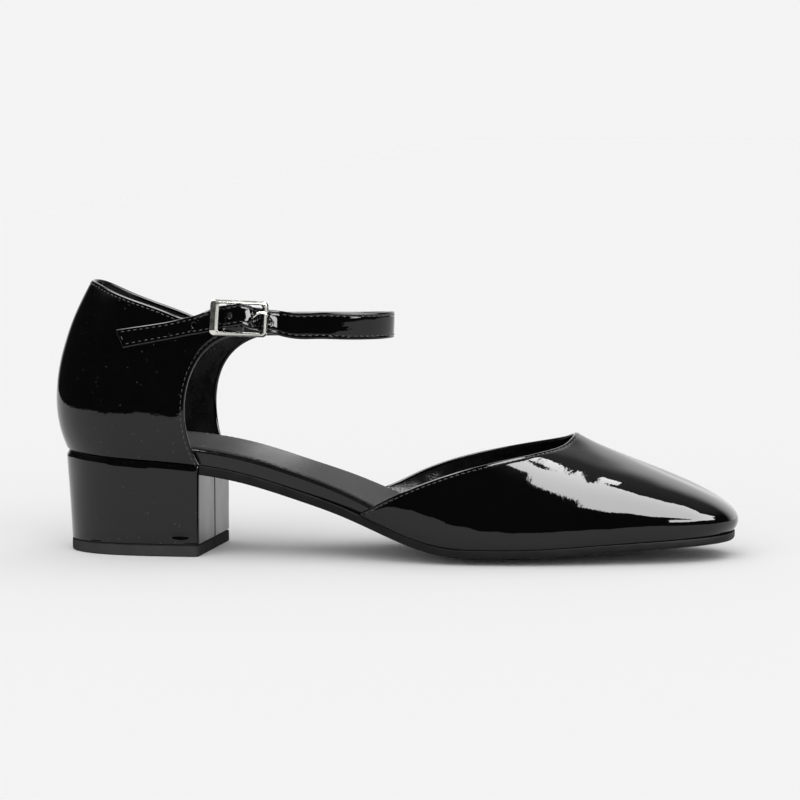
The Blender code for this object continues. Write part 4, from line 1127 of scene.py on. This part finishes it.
def build_tab():
    up = buckle_axes()[2]
    back = np.array((-math.cos(TAB_TURN), math.sin(TAB_TURN), 0.0))
    back = unit(back - up * (back @ up))
    axes = np.stack((back, np.cross(up, back), up))
    bar = in_buckle((0.0, BAR_DEPTH, 0.0))
    turn = np.linspace(0, math.pi, TAB_BENDS)
    straight = np.linspace(TAB_REACH, 0, TAB_STEPS)[:-1]
    reach = np.r_[straight, -TAB_FOLD * np.sin(turn), straight[::-1]]
    facing = np.r_[np.zeros(len(straight)), turn, np.full(len(straight), math.pi)]
    whole = np.arange(len(reach))
    slot_low, slot_high = PRONG_HEIGHT - SLOT_WIDTH / 2, PRONG_HEIGHT + SLOT_WIDTH / 2
    strips = [(-TAB_WIDTH / 2, slot_low, whole), (slot_high, TAB_WIDTH / 2, whole)]
    for side in (0.0, math.pi):
        strips.append((slot_low, slot_high, np.flatnonzero((reach >= SLOT_REACH) & (facing == side))))
    half = TAB_THICKNESS / 2
    parts = []
    for low, high, chosen in strips:
        square = np.array(((half, low), (half, high), (-half, high), (-half, low)))
        depth, height = fillet(square, TAB_ROUND, TAB_CORNER).T
        loops = []
        for far, angle in zip(reach[chosen], facing[chosen]):
            out = (TAB_FOLD + depth) * math.cos(angle)
            loops.append(np.column_stack((far - depth * math.sin(angle), out, height)) @ axes + bar)
        parts.append(ring_solid(loops))
    add_piece("buckle_tab_patent", *join(parts), (PATENT,), "patent_strap", ("buckle_tab",))


class Nodes:
    """A material's or the world's node tree, with short ways to add to it."""

    def __init__(self, owner):
        owner.use_nodes = True
        self.tree = owner.node_tree

    def put(self, socket, value):
        """Link a socket to another one, or set it to a constant."""
        if isinstance(value, bpy.types.NodeSocket):
            self.tree.links.new(value, socket)
        else:
            socket.default_value = value

    def add(self, kind, **settings):
        made = self.tree.nodes.new(kind)
        for key, value in settings.items():
            if hasattr(made, key):
                setattr(made, key, value)
            else:
                self.put(made.inputs[key.replace("_", " ")], value)
        return made

    def math(self, operation, first, second):
        made = self.add("ShaderNodeMath", operation=operation)
        self.put(made.inputs[0], first)
        self.put(made.inputs[1], second)
        return made.outputs[0]

    def noise(self, where, scale, detail):
        return self.add("ShaderNodeTexNoise", Vector=where, Scale=scale, Detail=detail).outputs["Fac"]

    def mix(self, share, first, second):
        made = self.add("ShaderNodeMix", data_type="RGBA", Factor=share)
        self.put(made.inputs[MIX_FIRST], first)
        self.put(made.inputs[MIX_SECOND], second)
        return made.outputs[MIX_RESULT]

    def ramp(self, value, low, high, start=0.0, stop=1.0):
        made = self.add("ShaderNodeMapRange", interpolation_type="SMOOTHSTEP", clamp=True, Value=value,
                        From_Min=low, From_Max=high, To_Min=start, To_Max=stop)
        return made.outputs["Result"]


def surface_material(
    name, tones, bump, roughness, metallic=0.0, coat=None, specular=0.5, specks=0.0, dull=()
):
    """A material whose colour varies between two tones, with roughness that varies and a fine bump.

    bump is (texture, scale per metre, height in metres), roughness is a range, coat is its weight and
    roughness, specks is the tone of the dust, and dull lists ranges of x over which the surface turns duller
    (from, to, by)."""
    material = bpy.data.materials.new(name)
    nodes = Nodes(material)
    shader = nodes.tree.nodes["Principled BSDF"]
    where = nodes.add("ShaderNodeTexCoord").outputs["Object"]
    along = nodes.add("ShaderNodeSeparateXYZ", Vector=where).outputs["X"]
    cloud = nodes.noise(where, CLOUD_SCALE, CLOUD_DETAIL)
    paint = nodes.mix(cloud, *((*tone, 1.0) for tone in tones))
    if specks:
        dots = nodes.add("ShaderNodeTexVoronoi", Vector=where, Scale=SPECK_SCALE)
        pick = nodes.add("ShaderNodeSeparateColor", Color=dots.outputs["Color"]).outputs[0]
        rare = nodes.math("GREATER_THAN", pick, SPECK_SHARE)
        near = nodes.math("LESS_THAN", dots.outputs["Distance"], SPECK_SIZE)
        share = nodes.math("MULTIPLY", nodes.math("MULTIPLY", rare, near), nodes.ramp(along, *SPECK_X))
        paint = nodes.mix(share, paint, (specks, specks, specks, 1.0))
    rough = nodes.ramp(cloud, *CLOUD_RANGE, *roughness)
    for start, stop, gain in dull:
        rough = nodes.math("ADD", rough, nodes.ramp(along, start, stop, 0.0, gain))
    texture, scale, height = bump
    if texture == "cells":
        relief = nodes.add("ShaderNodeTexVoronoi", Vector=where, Scale=scale).outputs["Distance"]
    else:
        relief = nodes.noise(where, scale, GRAIN_DETAIL)
    normal = nodes.add("ShaderNodeBump", Height=relief, Distance=height).outputs["Normal"]
    settings = {"Base Color": paint, "Roughness": rough, "Normal": normal}
    settings.update({"Metallic": metallic, "Specular IOR Level": specular})
    if coat:
        settings.update({"Coat Weight": coat[0], "Coat Roughness": coat[1]})
        settings.update({"Coat IOR": COAT_IOR, "Coat Normal": normal})
    for key, value in settings.items():
        nodes.put(shader.inputs[key], value)
    return material


BLACK = (0.001, 0.001, 0.0011), (0.0018, 0.0018, 0.002)
GLOSS = {
    "bump": ("noise", 700.0, 0.000012), "roughness": (0.3, 0.4), "coat": (1.0, 0.03), "specular": 0.0,
    "specks": 0.13,
}
PATENT = surface_material("patent", BLACK, **GLOSS)
HEEL = surface_material("patent_heel", BLACK, **GLOSS)
BOARD = surface_material(
    "patent_board", BLACK, ("noise", 420.0, 0.00003), (0.3, 0.4), coat=(1.0, 0.06), specular=0.05
)
LINING = surface_material(
    "lining", ((0.002, 0.002, 0.0022), (0.004, 0.004, 0.0042)), ("cells", 2000.0, 0.00014), (0.2, 0.32)
)
SOCK = surface_material(
    "sock", ((0.008, 0.008, 0.0085), (0.014, 0.014, 0.0145)), ("cells", 1700.0, 0.00022), (0.34, 0.38),
    specular=0.25, dull=SOCK_DULL,
)
OUTSOLE = surface_material(
    "outsole", ((0.005, 0.005, 0.005), (0.01, 0.01, 0.01)), ("noise", 900.0, 0.00008), (0.5, 0.65),
    specular=0.12,
)
LIFT = surface_material(
    "lift", ((0.032, 0.032, 0.032), (0.044, 0.044, 0.044)), ("noise", 900.0, 0.00004), (0.6, 0.75),
    specular=0.0,
)
METAL = surface_material(
    "nickel", ((0.78, 0.77, 0.72), (0.84, 0.83, 0.78)), ("noise", 1500.0, 0.000006), (0.12, 0.2),
    metallic=1.0,
)
THREAD = surface_material(
    "thread", ((0.012, 0.012, 0.013), (0.03, 0.03, 0.031)), ("noise", 5000.0, 0.00004), (0.4, 0.55)
)


def studio_sheet(name, corners):
    """A flat sheet of the studio between its corners; returns it with the nodes of its material."""
    mesh = bpy.data.meshes.new(name)
    mesh.from_pydata(to_part(corners).tolist(), [], [tuple(range(len(corners)))])
    material = bpy.data.materials.new(name)
    mesh.materials.append(material)
    sheet = bpy.data.objects.new(name, mesh)
    bpy.context.scene.collection.objects.link(sheet)
    return sheet, Nodes(material)


def build_floor():
    _, nodes = studio_sheet("floor", [(x, y, 0.0) for x, y in FLOOR])
    shader = nodes.tree.nodes["Principled BSDF"]
    shader.inputs["Base Color"].default_value = (FLOOR_TONE, FLOOR_TONE, FLOOR_TONE, 1.0)
    shader.inputs["Roughness"].default_value = FLOOR_ROUGHNESS
    shader.inputs["Specular IOR Level"].default_value = 0.0


def build_panels():
    """Flat glowing panels, seen only in reflections."""
    for name, corners, strength in PANELS:
        light, nodes = studio_sheet(name, corners)
        nodes.tree.nodes.clear()
        glow = nodes.add("ShaderNodeEmission", Strength=strength)
        nodes.add("ShaderNodeOutputMaterial", Surface=glow.outputs[0])
        light.visible_camera = light.visible_diffuse = False
        light.visible_shadow = light.visible_transmission = False


def build_world():
    """Light from all around: one tone for the gloss, one for the camera, and one for everything else."""
    world = bpy.data.worlds.new("studio")
    bpy.context.scene.world = world
    nodes = Nodes(world)
    path = nodes.add("ShaderNodeLightPath")
    where = nodes.add("ShaderNodeTexCoord").outputs["Generated"]
    direction = nodes.add("ShaderNodeSeparateXYZ", Vector=where)
    x, y, z = (direction.outputs[axis] for axis in "XYZ")
    backdrop = nodes.math("MULTIPLY", nodes.ramp(y, *BACKDROP_Y, 0.0, BACKDROP), nodes.ramp(x, *BACKDROP_X))
    backdrop = nodes.math("MULTIPLY", backdrop, nodes.ramp(y, *BACKDROP_FADE))
    ceiling = nodes.math("MULTIPLY", nodes.ramp(y, *CEILING_Y, 0.0, CEILING), nodes.ramp(z, *CEILING_Z))
    mirrored = nodes.math("ADD", nodes.math("ADD", backdrop, ceiling), DARK_ROOM)
    towards = nodes.add("ShaderNodeVectorMath", operation="DOT_PRODUCT")
    nodes.put(towards.inputs[0], where)
    nodes.put(towards.inputs[1], Vector(LIGHT_FROM).normalized())
    shining = nodes.ramp(towards.outputs["Value"], *OVERHEAD_RANGE, ALL_ROUND, ALL_ROUND + OVERHEAD)
    shining = nodes.math("ADD", shining, nodes.ramp(y, *FRONT_RANGE, 0.0, FRONT_LIGHT))
    shining = nodes.math("ADD", shining, nodes.ramp(y, *BACK_RANGE, 0.0, BACK_LIGHT))
    glossy, seen = path.outputs["Is Glossy Ray"], path.outputs["Is Camera Ray"]
    unseen = nodes.math("MULTIPLY", nodes.math("SUBTRACT", 1.0, seen), shining)
    plain = nodes.math("ADD", nodes.math("MULTIPLY", seen, FLOOR_TONE), unseen)
    plain = nodes.math("MULTIPLY", nodes.math("SUBTRACT", 1.0, glossy), plain)
    strength = nodes.math("ADD", nodes.math("MULTIPLY", mirrored, glossy), plain)
    background = nodes.tree.nodes["Background"]
    nodes.put(background.inputs["Strength"], strength)
    background.inputs["Color"].default_value = (1.0, 1.0, 1.0, 1.0)


def build_camera():
    data = bpy.data.cameras.new("camera")
    data.lens, data.sensor_width, data.clip_end = CAMERA_LENS, CAMERA_SENSOR, CAMERA_CLIP
    camera = bpy.data.objects.new("camera", data)
    bpy.context.scene.collection.objects.link(camera)
    turn, rise = math.radians(CAMERA_AZIMUTH), math.radians(CAMERA_ELEVATION)
    away = Vector((math.sin(turn) * math.cos(rise), -math.cos(turn) * math.cos(rise), math.sin(rise)))
    camera.location = Vector(CAMERA_AIM) + away * CAMERA_FAR
    camera.rotation_euler = away.to_track_quat("Z", "Y").to_euler()
    bpy.context.scene.camera = camera


build_camera()
build_floor()
build_world()
build_panels()
build_upper()
build_outsole()
build_insole()
build_heel()
build_lift()
build_strap()
build_buckle()
build_prong()
build_tab()
bpy.context.scene.view_settings.view_transform = "Standard"
